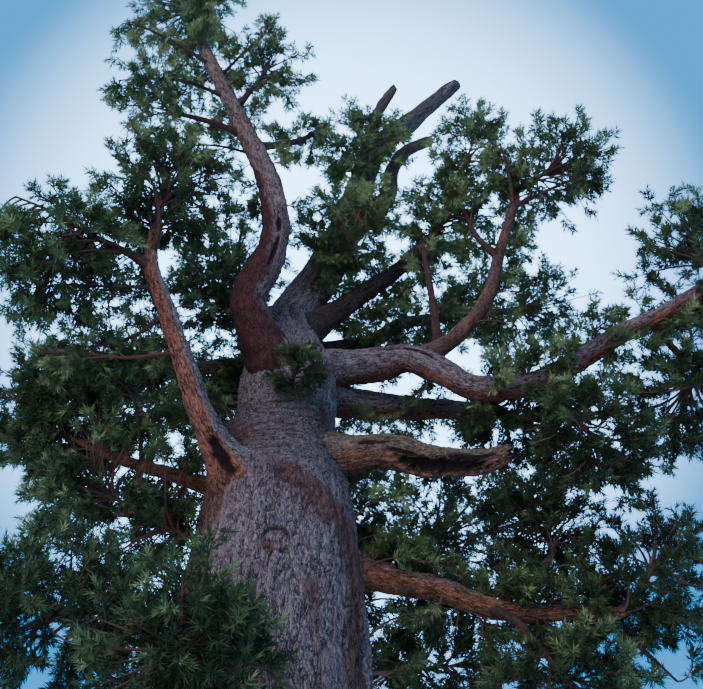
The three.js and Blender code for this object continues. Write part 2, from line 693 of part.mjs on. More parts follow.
// The unused face of the stem that looks most directly at a point, near ones first
const leastScore = 0.25;
const scoreLength = 20000;
function bestFace(growth, ids, target) {
  let best = null;
  let bestScore = leastScore;
  for (const id of ids) {
    if (!growth.faces[id]) continue;
    const toTarget = target.clone().sub(growth.corners(id)[0]);
    const facing = faceNormal(growth, id).dot(toTarget.clone().normalize());
    const score = facing - toTarget.length() / scoreLength;
    if (score > bestScore) {
      best = id;
      bestScore = score;
    }
  }
  return best;
}

// Materials
const bark = new THREE.MeshStandardMaterial({ color: 0x75645f, roughness: 0.95, metalness: 0 });
const redBark = new THREE.MeshStandardMaterial({ color: 0x8a5442, roughness: 0.9, metalness: 0 });
const deadWood = new THREE.MeshStandardMaterial({ color: 0x7d7064, roughness: 0.95, metalness: 0 });
const foliage = new THREE.MeshStandardMaterial({ color: 0x3f5a3c, roughness: 0.8, metalness: 0 });

// Assembly: each piece is placed by its root, and its geometry is kept from there
const limbGroup = new THREE.Group();
const foliageGroup = new THREE.Group();
const sequoia = new THREE.Group();
sequoia.add(limbGroup, foliageGroup);

function addPiece(group, name, solid, material, root) {
  const { vertProperties, triVerts } = solid.getMesh();
  const geometry = new THREE.BufferGeometry();
  geometry.setAttribute('position', new THREE.BufferAttribute(new Float32Array(vertProperties), 3));
  geometry.setIndex([...triVerts]);
  const mesh = new THREE.Mesh(geometry.translate(-root.x, -root.y, -root.z), material);
  mesh.name = name;
  mesh.position.copy(root);
  group.add(mesh);
}

const trunk = trunkSolid(0);
limbs.set('trunk', { grown: trunkSolid(gap) });
addPiece(limbGroup, 'trunk', trunk, bark, new THREE.Vector3());
const obstacles = [trunk];
for (const bough of [...boughs, ...backBoughList()]) {
  const root = rootOf(bough).round();
  for (const [name, solid] of makeBough(bough)) {
    addPiece(limbGroup, name, solid, bough.jagged ? deadWood : redBark, root);
    obstacles.push(solid);
  }
}

const backMasses = backBoughList().map((bough, i) => {
  const tip = limbs.get(bough.name).tipRing;
  const middle = tip.middle.clone().addScaledVector(tip.along, backMass.beyond);
  middle.z += backMass.lift;
  return { name: `crown_back_${i + 1}`, on: bough.name, middle: middle.toArray(), half: backMass.half,
    twigs: backMass.twigs };
});
const allMasses = [...masses, ...backMasses];
allMasses.forEach((mass, i) => {
  const solid = growMass(mass, obstacles, firstSeed + i * seedStep);
  addPiece(foliageGroup, mass.name, solid, foliage, new THREE.Vector3(...mass.middle).round());
  obstacles.push(solid);
});

export default sequoia;
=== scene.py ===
"""An old giant sequoia, seen steeply from below: its trunk, boughs, twigs and sprays of needles."""
import json
import math

import bpy
import numpy as np
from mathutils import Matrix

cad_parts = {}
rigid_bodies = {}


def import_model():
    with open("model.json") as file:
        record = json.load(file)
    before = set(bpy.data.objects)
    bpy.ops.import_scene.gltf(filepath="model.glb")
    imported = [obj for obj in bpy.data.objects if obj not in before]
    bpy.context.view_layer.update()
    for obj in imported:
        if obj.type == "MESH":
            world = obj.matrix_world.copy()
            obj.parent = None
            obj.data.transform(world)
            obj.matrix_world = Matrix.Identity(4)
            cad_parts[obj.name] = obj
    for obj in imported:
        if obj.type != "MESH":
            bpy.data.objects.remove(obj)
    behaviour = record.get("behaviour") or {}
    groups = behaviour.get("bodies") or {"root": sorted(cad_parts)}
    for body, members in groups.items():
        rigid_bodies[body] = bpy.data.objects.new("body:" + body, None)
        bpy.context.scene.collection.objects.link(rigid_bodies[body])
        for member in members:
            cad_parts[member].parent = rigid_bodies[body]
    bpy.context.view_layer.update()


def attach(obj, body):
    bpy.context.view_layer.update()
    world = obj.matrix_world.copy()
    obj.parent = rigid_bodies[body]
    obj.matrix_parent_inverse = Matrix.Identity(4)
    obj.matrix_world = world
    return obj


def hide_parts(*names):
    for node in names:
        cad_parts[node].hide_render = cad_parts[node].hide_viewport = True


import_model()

# Viewpoint. Someone stands close under the tree, a little to the right of its trunk, and looks steeply
# up into the crown, so that the trunk runs away from them and the boughs pass overhead.
EYE = (1.8, -16.3, 1.26)
LOOKING_UP = 48  # degrees above the level
LENS_TO_WIDTH = 750 / 703  # focal length as a share of the picture's width
SENSOR = 36


def in_scene(name, data):
    """A new object that stands in the scene"""
    made = bpy.data.objects.new(name, data)
    bpy.context.scene.collection.objects.link(made)
    return made


viewpoint = in_scene("viewpoint", bpy.data.cameras.new("viewpoint"))
viewpoint.data.sensor_fit = "HORIZONTAL"
viewpoint.data.sensor_width = SENSOR
viewpoint.data.lens = SENSOR * LENS_TO_WIDTH
viewpoint.data.clip_end = 400
viewpoint.location = EYE
viewpoint.rotation_euler = (math.radians(90 + LOOKING_UP), 0, 0)
bpy.context.scene.camera = viewpoint

# Ground and sky. A plain pale floor that sends light up under the boughs, a plain blue sky that pales
# behind the crown, a soft sun there and a broad weak light from the viewer's left.
FLOOR_HALF = 90
SKY_GLOW = (-0.02, 0.655, 0.756)  # where the sky is palest
GLOW_EDGE, GLOW_CORE = 30, 6  # degrees from there at which the sky starts to pale and is palest
SKY_NEAR, SKY_FAR = (2.2, 5.2, 9.2), (0.030, 0.47, 1.20)

floor_mesh = bpy.data.meshes.new("pale_floor")
floor_mesh.from_pydata([(-FLOOR_HALF, -FLOOR_HALF, 0), (FLOOR_HALF, -FLOOR_HALF, 0),
                        (FLOOR_HALF, FLOOR_HALF, 0), (-FLOOR_HALF, FLOOR_HALF, 0)], [], [(0, 1, 2, 3)])
pale_floor = in_scene("pale_floor", floor_mesh)


def new_material(name, roughness, colour=None):
    """A material and its shader, whose plain values are set on the shader's own sockets"""
    material = bpy.data.materials.new(name)
    material.use_nodes = True
    shader = material.node_tree.nodes["Principled BSDF"]
    shader.inputs["Roughness"].default_value = roughness
    shader.inputs["Specular IOR Level"].default_value = 0.25
    if colour:
        shader.inputs["Base Color"].default_value = (*colour, 1)
    return material, shader


floor_paint, _ = new_material("pale_floor_paint", 0.9, (0.62, 0.62, 0.60))
floor_mesh.materials.append(floor_paint)


def link_up(tree, kind, inputs, **settings):
    """A node with its settings, each input a value or another node's output"""
    node = tree.nodes.new(kind)
    for name, value in settings.items():
        setattr(node, name, value)
    for key, value in inputs.items():
        if isinstance(value, bpy.types.NodeSocket):
            tree.links.new(value, node.inputs[key])
        else:
            node.inputs[key].default_value = value
    return node


sky = bpy.data.worlds.new("pale_sky")
sky.use_nodes = True
heading_to = link_up(sky.node_tree, "ShaderNodeTexCoord", {})
towards_glow = link_up(sky.node_tree, "ShaderNodeVectorMath",
                       {0: heading_to.outputs["Generated"], 1: SKY_GLOW}, operation="DOT_PRODUCT")
glow = link_up(sky.node_tree, "ShaderNodeMapRange",
               {"Value": towards_glow.outputs["Value"], "From Min": math.cos(math.radians(GLOW_EDGE)),
                "From Max": math.cos(math.radians(GLOW_CORE))}, interpolation_type="SMOOTHSTEP")
sky_tone = link_up(sky.node_tree, "ShaderNodeMix",
                   {"Factor": glow.outputs[0], 6: (*SKY_FAR, 1), 7: (*SKY_NEAR, 1)}, data_type="RGBA")
sky.node_tree.links.new(sky_tone.outputs[2], sky.node_tree.nodes["Background"].inputs["Color"])
bpy.context.scene.world = sky


def soft_sun(name, towards, strength, spread, colour):
    """A broad soft light that shines from a direction"""
    light = bpy.data.lights.new(name, "SUN")
    light.energy = strength
    light.angle = math.radians(spread)
    light.color = colour
    x, y, z = towards
    holder = in_scene(name, light)
    holder.rotation_euler = (math.atan2(math.hypot(x, y), z), 0, math.atan2(x, -y))


soft_sun("sun_behind_crown", (-0.15, 0.68, 0.80), 2.6, 12, (1.0, 0.92, 0.80))
soft_sun("fill_from_viewer", (-0.55, -1.0, 0.30), 3.1, 80, (1.0, 0.79, 0.64))

# Trunk. One living column of soft fibrous bark up to the highest boughs, flared at the foot, and above
# them the bare spike of the dead top, which leans off to the right. The same stations as in the solids.
TRUNK_STATIONS = [  # height, radius, lean towards +X
    (0.0, 3.25, 0.0), (0.7, 2.95, 0.0), (1.6, 2.72, 0.0), (3.0, 2.54, 0.0), (5.0, 2.40, -0.02),
    (8.5, 2.24, -0.05), (11.4, 2.07, -0.06), (13.2, 1.87, -0.13), (15.1, 1.49, -0.12),
    (16.7, 1.45, -0.13), (18.0, 1.39, -0.18), (19.3, 1.08, -0.30), (20.4, 0.85, -0.27),
    (21.7, 0.76, 0.18), (23.7, 0.70, 0.95), (27.1, 0.60, 1.75), (30.0, 0.57, 2.30),
    (32.6, 0.54, 2.90), (35.9, 0.44, 4.90), (39.82, 0.33, 7.25)]
FLARE_HEIGHT = 1.9
FLARE_LOBES = [(5, 0.11, 0.6), (8, 0.05, 2.1)]  # count round the foot, depth, turn
FLUTING = [(3, 0.018, 1.2), (7, 0.012, 0.4)]
TRUNK_LENGTHS = [  # piece, from height, to height, row spacing, points round it
    ("trunk_foot", 0.0, 7.0, 0.10, 320), ("trunk_bole", 7.0, 20.6, 0.052, 320),
    ("trunk_spike", 20.6, 39.82, 0.09, 160)]
# The neck, creased by its own weight: from and to height, the creases' depth and spacing, how much its
# bark is squashed along the trunk
NECK_WRINKLES = dict(low=12.8, high=16.2, depth=0.03, apart=0.24, squash=3.6)
BARE_FROM, BARE_BY = 19.5, 24.5  # heights over which the living bark gives way to bare wood
TRUNK_WEATHER, WEATHER_VARIES, BARE_WEATHER = 0.66, 0.27, 1.1  # how grey the bark is, and more where bare
SWELL_DEPTH = 0.035
SCAR_RIM_WIDTH, SCAR_RIM_HEIGHT, SCAR_DISH = 0.06, 0.07, 0.035
BOLE_RELIEF, SPIKE_RELIEF = 0.055, 0.03  # how deep the bark and the bare wood are furrowed
TRUNK_PLATE = (0.20, 0.74, 0)  # width and height of a plate of bark
WIDE_GRAIN = (1.0, 3.0, 0.55, 0.7)  # scale, detail, roughness and distortion of the wide fissures' field
FINE_GRAIN = (2.3, 3.0, 0.5, 0.5)
CUT_WIDTHS, CRACK_WIDTHS = (0.075, 0.11), (0.030, 0.045)  # wide and fine fissures, in relief and in colour
# Marks in the bark: height, heading, half-width, half-height, how far it stands out, how dark it is; the dark
# of the sunken ones is painted shade
BARK_MARKS = [
    (15.05, 197, 0.42, 0.38, 0.34, 0.15), (14.3, 205, 0.45, 0.55, 0.14, 0),
    (12.78, 277, 0.1, 0.13, -0.05, 0.8), (12.35, 291, 0.22, 0.1, -0.06, 0.5),
    (12.15, 303, 0.09, 0.2, -0.05, 0.5), (12.3, 318, 0.13, 0.55, -0.1, 0.5),
    (11.3, 203, 0.07, 1, -0.08, 0.5), (10.1, 209, 0.06, 0.9, -0.07, 0.4),
    (10.7, 196, 0.07, 1.1, -0.08, 0.5), (10.9, 322, 0.07, 0.6, -0.1, 0.6),
    (9.9, 328, 0.06, 0.8, -0.09, 0.6), (9.3, 336, 0.07, 1.1, -0.1, 0.7), (8.3, 331, 0.06, 0.9, -0.09, 0.5),
    (7.9, 339, 0.08, 1.3, -0.11, 0.7), (8.8, 323, 0.05, 0.7, -0.07, 0.4),
    (11.9, 206, 0.06, 0.8, -0.07, 0.6), (12.2, 214, 0.05, 0.6, -0.05, 0.5),
    (10.6, 216, 0.06, 0.9, -0.06, 0.5), (10.2, 201, 0.06, 1, -0.07, 0.6),
    (10.42, 281, 0.12, 0.07, -0.06, 0.9), (11.6, 332, 0.07, 0.8, -0.09, 0.7),
    (10.3, 335, 0.07, 1, -0.09, 0.7), (8.8, 344, 0.07, 1.4, -0.1, 0.7)]
# Where the grey has worn off to red: height, heading, half-width, half-height, how far
PEELED_PATCHES = [
    (13.3, 212, 0.70, 1.10, 0.50), (12.85, 284, 0.40, 0.22, 0.45), (12.4, 306, 0.30, 0.40, 0.20),
    (9.4, 333, 0.42, 2.60, 0.60), (10.6, 271, 0.22, 0.25, 0.40), (8.6, 300, 0.18, 1.30, 0.20),
    (15.4, 318, 0.35, 0.60, 0.40), (11.4, 205, 0.75, 2.3, 0.70)]
# Healed scars of shed boughs: height, heading, radius of the arched rim, how marked it is
HEALED_SCARS = [(10.62, 275, 0.40, 1.0), (10.40, 291, 0.22, 0.5), (9.4, 262, 0.26, 0.4)]


class SmoothPath:
    """A smooth line through points, read by its share of the way along"""

    def __init__(self, points, smooth=True):
        pts = np.array(points, float)
        self.points = self.smoothed(pts) if smooth else pts
        steps = np.linalg.norm(np.diff(self.points, axis=0), axis=1)
        self.run = np.concatenate([[0], np.cumsum(steps)])
        self.length = self.run[-1]

    @staticmethod
    def smoothed(pts, samples=40):
        """Closely set points on a smooth curve through the given ones"""
        ends = np.vstack([2 * pts[0] - pts[1], pts, 2 * pts[-1] - pts[-2]])
        t = np.linspace(0, 1, samples, endpoint=False)[:, None]
        runs = []
        for before, start, end, after in zip(ends, ends[1:], ends[2:], ends[3:]):
            lead, trail = (end - before) / 2, (after - start) / 2
            runs.append(start + lead * t + (3 * (end - start) - 2 * lead - trail) * t ** 2
                        + (2 * (start - end) + lead + trail) * t ** 3)
        return np.vstack([*runs, pts[-1:]])

    def at(self, share):
        away = np.asarray(share) * self.length
        return np.stack([np.interp(away, self.run, self.points[:, i]) for i in range(3)], -1)

    def along(self, share, reach=0.004):
        way = self.at(np.minimum(1, share + reach)) - self.at(np.maximum(0, share - reach))
        return way / np.linalg.norm(way, axis=-1, keepdims=True)


def bark_frames(path, shares):
    """Middle, direction and two crossways of a limb at each share, turned along it without twist"""
    middles, alongs = path.at(shares), path.along(shares)
    sides = np.zeros_like(middles)
    side = np.array([1.0, 0, 0])
    for i, along in enumerate(alongs):
        side = side - along * side.dot(along)
        side /= np.linalg.norm(side)
        sides[i] = side
    return middles, alongs, sides, np.cross(alongs, sides)


def waves(turn, run, seed, count=6, reach=(0.7, 2.4)):
    """Slow swells over a limb's skin, from -1 to 1, out of a few sines of its turn and its length"""
    random = np.random.RandomState(seed)
    total = np.zeros(np.broadcast(turn, run).shape)
    for _ in range(count):
        lobes, length, phase = random.randint(1, 5), random.uniform(*reach), random.uniform(0, 6.28)
        total += np.sin(lobes * turn + 6.28 * run / length + phase)
    return total / count * 1.6


def keep_on_points(mesh, **kept):
    """Keeps named values, each a kind and one value for every point, for a tree or a material to read"""
    for name, (kind, values) in kept.items():
        field = "vector" if kind == "FLOAT_VECTOR" else "value"
        mesh.attributes.new(name, kind, "POINT").data.foreach_set(field, values)


def limb_mesh(name, middles, sides, acrosses, radii, runs, plate, weather, rot_and_shade_marks, slants=None,
              caps=(True, True)):
    """A closed tube of rings. Each point's place in the bark, counted in plates, is kept for the relief
    and the colour"""
    rows, columns = radii.shape
    turn = np.linspace(0, 2 * np.pi, columns, endpoint=False)
    out = sides[:, None] * np.cos(turn)[None, :, None] + acrosses[:, None] * np.sin(turn)[None, :, None]
    points = middles[:, None] + out * radii[:, :, None]
    if slants is not None:
        points += slants
    mean = radii.mean(axis=1, keepdims=True)
    width, height, offset = plate
    bark_at = np.stack([mean * np.cos(turn) / width, mean * np.sin(turn) / width,
                        np.broadcast_to(runs[:, None] / height + offset, radii.shape)], -1)
    a = np.arange(rows * columns).reshape(rows, columns)
    b = np.roll(a, -1, axis=1)
    quads = np.stack([a[:-1], b[:-1], b[1:], a[1:]], -1).reshape(-1, 4)
    points, bark_at = points.reshape(-1, 3), bark_at.reshape(-1, 3)
    # each point keeps its weather, and how much rot and painted shade darken it
    skin = np.stack([np.broadcast_to(weather, radii.shape), rot_and_shade_marks], -1).reshape(-1, 2)
    faces = quads.tolist()
    for row, wanted in ((0, caps[0]), (rows - 1, caps[1])):
        if wanted:
            middle = len(points)
            ring = a[row]
            points = np.vstack([points, points[ring].mean(axis=0)])
            bark_at = np.vstack([bark_at, [0, 0, runs[row] / height + offset]])
            skin = np.vstack([skin, skin[ring].mean(axis=0)])
            pairs = zip(ring, np.roll(ring, -1))
            faces += [(q, p, middle) if row == 0 else (p, q, middle) for p, q in pairs]
    mesh = bpy.data.meshes.new(name)
    mesh.from_pydata(points, [], faces)
    keep_on_points(mesh, bark_at=("FLOAT_VECTOR", bark_at.ravel()), weather=("FLOAT", skin[:, 0]),
                   wound=("FLOAT", skin[:, 1]))
    return in_scene(name, mesh)


def tree_with_inputs(name, kinds):
    """A tree that works on a piece, with named inputs: the tree, their identifiers and their sockets"""
    tree = bpy.data.node_groups.new(name, "GeometryNodeTree")
    inputs = {}
    for label, kind in {"Geometry": "NodeSocketGeometry", **kinds}.items():
        inputs[label] = tree.interface.new_socket(label, in_out="INPUT", socket_type=kind).identifier
    tree.interface.new_socket("Geometry", in_out="OUTPUT", socket_type="NodeSocketGeometry")
    return tree, inputs, tree.nodes.new("NodeGroupInput").outputs


def end_in_bark(tree, geometry, bark):
    """Ends a tree with a smooth, solid mesh under one material"""
    smooth = link_up(tree, "GeometryNodeSetShadeSmooth", {"Geometry": geometry})
    solid = link_up(tree, "GeometryNodeRealizeInstances", {"Geometry": smooth.outputs[0]})
    dressed = link_up(tree, "GeometryNodeSetMaterial", {"Geometry": solid.outputs[0], "Material": bark})
    link_up(tree, "NodeGroupOutput", {0: dressed.outputs[0]})


def maths(tree, operation, a, b=0.0, c=0.0):
    return link_up(tree, "ShaderNodeMath", {0: a, 1: b, 2: c}, operation=operation).outputs[0]


def bark_grain(tree, place, scale, detail, roughness=0.5, distortion=0.0):
    values = {"Vector": place, "Scale": scale, "Detail": detail, "Roughness": roughness,
              "Distortion": distortion}
    return link_up(tree, "ShaderNodeTexNoise", values).outputs["Fac"]


def fissures(tree, grain, width):
    """Narrow lines where the grain crosses its middle: 1 in their depth, 0 outside them"""
    away = maths(tree, "ABSOLUTE", maths(tree, "SUBTRACT", grain, 0.5))
    return maths(tree, "SUBTRACT", 1.0, maths(tree, "MINIMUM", maths(tree, "DIVIDE", away, width), 1.0))


def bark_relief_tree():
    """Cuts fissures and fibres along a limb's skin"""
    tree, inputs, given = tree_with_inputs("bark_relief", {"Depth": "NodeSocketFloat",
                                                           "Bark": "NodeSocketMaterial"})
    at = link_up(tree, "GeometryNodeInputNamedAttribute", {"Name": "bark_at"},
                 data_type="FLOAT_VECTOR").outputs[0]
    wide = fissures(tree, bark_grain(tree, at, *WIDE_GRAIN), CUT_WIDTHS[0])
    fine = fissures(tree, bark_grain(tree, at, *FINE_GRAIN), CUT_WIDTHS[1])
    rough = maths(tree, "SUBTRACT", bark_grain(tree, at, 3.6, 4.0), 0.5)
    swell = maths(tree, "SUBTRACT", bark_grain(tree, at, 0.45, 1.0), 0.5)
    cut = maths(tree, "MULTIPLY_ADD", fine, 0.45, maths(tree, "MULTIPLY", wide, 0.8))
    lift = maths(tree, "MULTIPLY_ADD", swell, 1.5, maths(tree, "MULTIPLY", rough, 1.3))
    height = maths(tree, "MULTIPLY", maths(tree, "SUBTRACT", lift, cut), given["Depth"])
    normal = tree.nodes.new("GeometryNodeInputNormal")
    move = link_up(tree, "ShaderNodeVectorMath", {0: normal.outputs[0], "Scale": height}, operation="SCALE")
    moved = link_up(tree, "GeometryNodeSetPosition", {"Geometry": given["Geometry"],
                                                      "Offset": move.outputs[0]})
    end_in_bark(tree, moved.outputs[0], given["Bark"])
    return tree, inputs


BARK_RELIEF, RELIEF_INPUTS = bark_relief_tree()


def applied(piece, tree, identifiers, **values):
    """Runs a tree on a piece, keeps what it makes as the piece's plain mesh and takes the tree off"""
    run = piece.modifiers.new(tree.name, "NODES")
    run.node_group = tree
    for name, value in values.items():
        run[identifiers[name.replace("_", " ").title()]] = value
    piece.update_tag()
    made = piece.evaluated_get(bpy.context.evaluated_depsgraph_get())
    mesh = bpy.data.meshes.new_from_object(made)
    piece.modifiers.clear()
    old = piece.data
    piece.data = mesh
    name = old.name
    bpy.data.meshes.remove(old)
    mesh.name = name
    return piece


def bark_material(name, peeled, weathered, crevice_shade, bare=None, moss=None, moss_share=0.0):
    """Fibrous bark, each tone a pair for its ridges and its body. Where `weather` is low it has peeled to
    red, higher up it is weathered grey, and past one it is bare wood. Fissures are painted near black as
    shade, and where the marks kept on the points say so it is painted dark for rot and as shade in
    hollows and creases. Moss grows on what faces up"""
    material, shader = new_material(name, 0.92)
    tree = material.node_tree
    links = tree.links

    def colour_mix(factor, a, b):
        mix = link_up(tree, "ShaderNodeMix", {"Factor": factor}, data_type="RGBA")
        for key, value in ((6, a), (7, b)):
            if isinstance(value, bpy.types.NodeSocket):
                links.new(value, mix.inputs[key])
            else:
                mix.inputs[key].default_value = (*value, 1)
        return mix.outputs[2]

    def between(value, low, high):
        return link_up(tree, "ShaderNodeMapRange", {0: value, 1: low, 2: high}).outputs[0]

    def kept(attribute):
        return link_up(tree, "ShaderNodeAttribute", {}, attribute_name=attribute).outputs["Fac"]

    place = link_up(tree, "ShaderNodeAttribute", {}, attribute_name="bark_at").outputs["Vector"]
    fibres = bark_grain(tree, place, 7.0, 5.0, 0.6, 0.8)
    even = link_up(tree, "ShaderNodeMapping", {"Vector": place, "Scale": (1, 1, 3)}).outputs[0]
    flakes = bark_grain(tree, even, 1.9, 6.0, 0.66, 0.8)
    broad = bark_grain(tree, even, 0.35, 5.0, 0.62)
    wide = fissures(tree, bark_grain(tree, place, *WIDE_GRAIN), CRACK_WIDTHS[0])
    fine = fissures(tree, bark_grain(tree, place, *FINE_GRAIN), CRACK_WIDTHS[1])
    hair = fissures(tree, bark_grain(tree, place, 5.2, 3.0, 0.5, 0.4), 0.07)
    cracks = maths(tree, "MAXIMUM", wide, maths(tree, "MAXIMUM", maths(tree, "MULTIPLY", fine, 0.85),
                                                 maths(tree, "MULTIPLY", hair, 0.6)))
    cracks = maths(tree, "MULTIPLY", cracks, between(broad, 0.20, 0.48))

    def streaks(tones):
        ridge, body = tones
        streaked = colour_mix(between(fibres, 0.36, 0.64), body, ridge)
        return colour_mix(between(flakes, 0.52, 0.70), streaked, tuple(c * 0.55 for c in body))

    aged = maths(tree, "MULTIPLY_ADD", broad, 0.9, maths(tree, "ADD", kept("weather"), -0.45))
    aged = maths(tree, "MULTIPLY_ADD", flakes, 0.5, maths(tree, "ADD", aged, -0.25))
    skin = colour_mix(between(aged, 0.36, 0.60), streaks(peeled), streaks(weathered))
    if bare:
        skin = colour_mix(between(aged, 1.3, 1.7), skin, streaks(bare))
    # painted shade: the fissures that the relief cuts in are darkened near black
    fissured = colour_mix(between(cracks, 0.05, 0.75), skin, crevice_shade)
    # near black for rot, and painted shade in hollows, sunken marks, scar rims and creases
    rot_and_shade_tone = colour_mix(between(fibres, 0.42, 0.62), tuple(c * 0.3 for c in crevice_shade),
                        tuple(c * 2.0 for c in crevice_shade))
    skin_rot_and_shade = colour_mix(between(kept("wound"), 0.2, 0.8), fissured, rot_and_shade_tone)
    if moss:
        facing = link_up(tree, "ShaderNodeSeparateXYZ",
                         {0: tree.nodes.new("ShaderNodeNewGeometry").outputs["Normal"]}).outputs[2]
        grown = maths(tree, "MULTIPLY", between(facing, 0.45 - moss_share, 0.95 - moss_share),
                      between(flakes, 0.42, 0.58))
        skin_rot_and_shade = colour_mix(grown, skin_rot_and_shade, moss)
    links.new(skin_rot_and_shade, shader.inputs["Base Color"])
    height = maths(tree, "SUBTRACT", maths(tree, "ADD", fibres, flakes), maths(tree, "MULTIPLY", cracks, 0.8))
    bump = link_up(tree, "ShaderNodeBump", {"Height": height, "Strength": 0.8, "Distance": 0.03})
    links.new(bump.outputs["Normal"], shader.inputs["Normal"])
    return material


trunk_path = SmoothPath([(lean, 0, height) for height, _, lean in TRUNK_STATIONS])
trunk_heights = trunk_path.points[:, 2]
trunk_girth = SmoothPath([(height, radius, 0) for height, radius, _ in TRUNK_STATIONS]).points


def trunk_share(height):
    return np.interp(height, trunk_heights, trunk_path.run) / trunk_path.length


def trunk_radius(height):
    return np.interp(height, trunk_girth[:, 0], trunk_girth[:, 1])


def turn_gap(turn, heading):
    """Turn between two headings, in radians, from minus to plus half a circle"""
    return (turn - math.radians(heading) + np.pi) % (2 * np.pi) - np.pi


def smooth_step(value, low, high):
    share = np.clip((value - low) / (high - low), 0, 1)
    return share * share * (3 - 2 * share)


trunk_bark = bark_material(
    "trunk_bark", peeled=((0.235, 0.115, 0.085), (0.115, 0.046, 0.035)),
    weathered=((0.330, 0.242, 0.234), (0.182, 0.128, 0.126)),
    bare=((0.185, 0.150, 0.130), (0.085, 0.062, 0.052)), crevice_shade=(0.030, 0.016, 0.016))


def in_neck(level):
    """How far a height lies in the creased neck, from 0 to 1"""
    low, high = NECK_WRINKLES["low"], NECK_WRINKLES["high"]
    return smooth_step(level, low, low + 0.8) * smooth_step(-level, -high, 0.8 - high)


neck_heights = np.linspace(0, TRUNK_STATIONS[-1][0], 800)
neck_run = np.cumsum(in_neck(neck_heights)) * neck_heights[1]

for name, low, high, spacing, columns in TRUNK_LENGTHS:
    heights = np.linspace(low, high, round((high - low) / spacing) + 1)
    shares = trunk_share(heights)
    middles, alongs, sides, acrosses = bark_frames(trunk_path, np.concatenate([[0], shares]))
    middles, sides, acrosses = middles[1:], sides[1:], acrosses[1:]
    turn = np.linspace(0, 2 * np.pi, columns, endpoint=False)[None, :]
    level = heights[:, None]
    weather = TRUNK_WEATHER + WEATHER_VARIES * waves(turn, level, 21, 6, (2.0, 6.0))
    weather = weather + BARE_WEATHER * smooth_step(level, BARE_FROM, BARE_BY)
    flare = np.exp(-level / FLARE_HEIGHT)
    folds = 1 + flare * sum(depth * np.cos(n * turn + at) for n, depth, at in FLARE_LOBES)
    folds = folds + sum(depth * np.cos(n * turn + at) for n, depth, at in FLUTING)
    radii = trunk_radius(heights)[:, None] * folds
    radii = radii + SWELL_DEPTH * waves(turn, level, 5, 9, (1.5, 5.0))
    marks = np.zeros_like(radii)
    for height, heading, half_width, half_height, amount in PEELED_PATCHES:
        across, rise = turn_gap(turn, heading) * radii / half_width, (level - height) / half_height
        weather = weather - amount * np.exp(-across ** 2 - rise ** 2)
    for height, heading, half_width, half_height, out, dark in BARK_MARKS:
        wander = 0.07 * np.sin(level * 3.1 + height * 5) + 0.03 * np.sin(level * 9.0 + height * 11)
        across = (turn_gap(turn, heading) * radii + wander) / half_width
        shape = np.exp(-(across ** 2) - ((level - height) / half_height) ** 4)
        radii = radii + out * shape
        # painted shade darkens the sunken marks
        marks = np.maximum(marks, dark * shape)
    for height, heading, rim, marked in HEALED_SCARS:
        across, rise = turn_gap(turn, heading) * radii, level - height
        away = np.hypot(across, rise * 0.9)
        upper = np.clip(0.5 + rise / rim, 0, 1)
        arch = np.exp(-(((away - rim) / SCAR_RIM_WIDTH) ** 2)) * upper
        radii = radii + SCAR_RIM_HEIGHT * marked * arch
        radii = radii - SCAR_DISH * marked * np.exp(-((away / rim / 0.7) ** 4))
        # painted shade: a dark line just inside the arched rim
        marks = np.maximum(marks, marked * upper * np.exp(-(((away - rim * 0.78) / 0.04) ** 2)))
    neck = NECK_WRINKLES
    creases = np.sin(6.28 * level / neck["apart"] + 2.2 * waves(turn, level, 31, 7, (0.8, 2.5)))
    radii = radii + neck["depth"] * in_neck(level) * creases
    # painted shade in the troughs of the creases
    marks = np.maximum(marks, 0.62 * in_neck(level) * np.clip(-2.2 * creases - 1.1, 0, 1))
    bark_run = heights + neck["squash"] * np.interp(heights, neck_heights, neck_run)
    if low == 0:
        middles[0] = (0, 0, 0)
    piece = limb_mesh(name, middles, sides, acrosses, radii, bark_run, TRUNK_PLATE, weather, marks,
                      caps=(low == 0, high == TRUNK_STATIONS[-1][0]))
    applied(piece, BARK_RELIEF, RELIEF_INPUTS, depth=BOLE_RELIEF if low < BARE_FROM else SPIKE_RELIEF,
            bark=trunk_bark)
    if low == 0:
        flat = np.empty(len(piece.data.vertices) * 3)
        piece.data.vertices.foreach_get("co", flat)
        flat[2::3] = np.maximum(flat[2::3], 0)
        flat[2::3][:columns] = 0
        flat[-1] = 0
        piece.data.vertices.foreach_set("co", flat)
    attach(piece, "root")
    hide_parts("trunk")

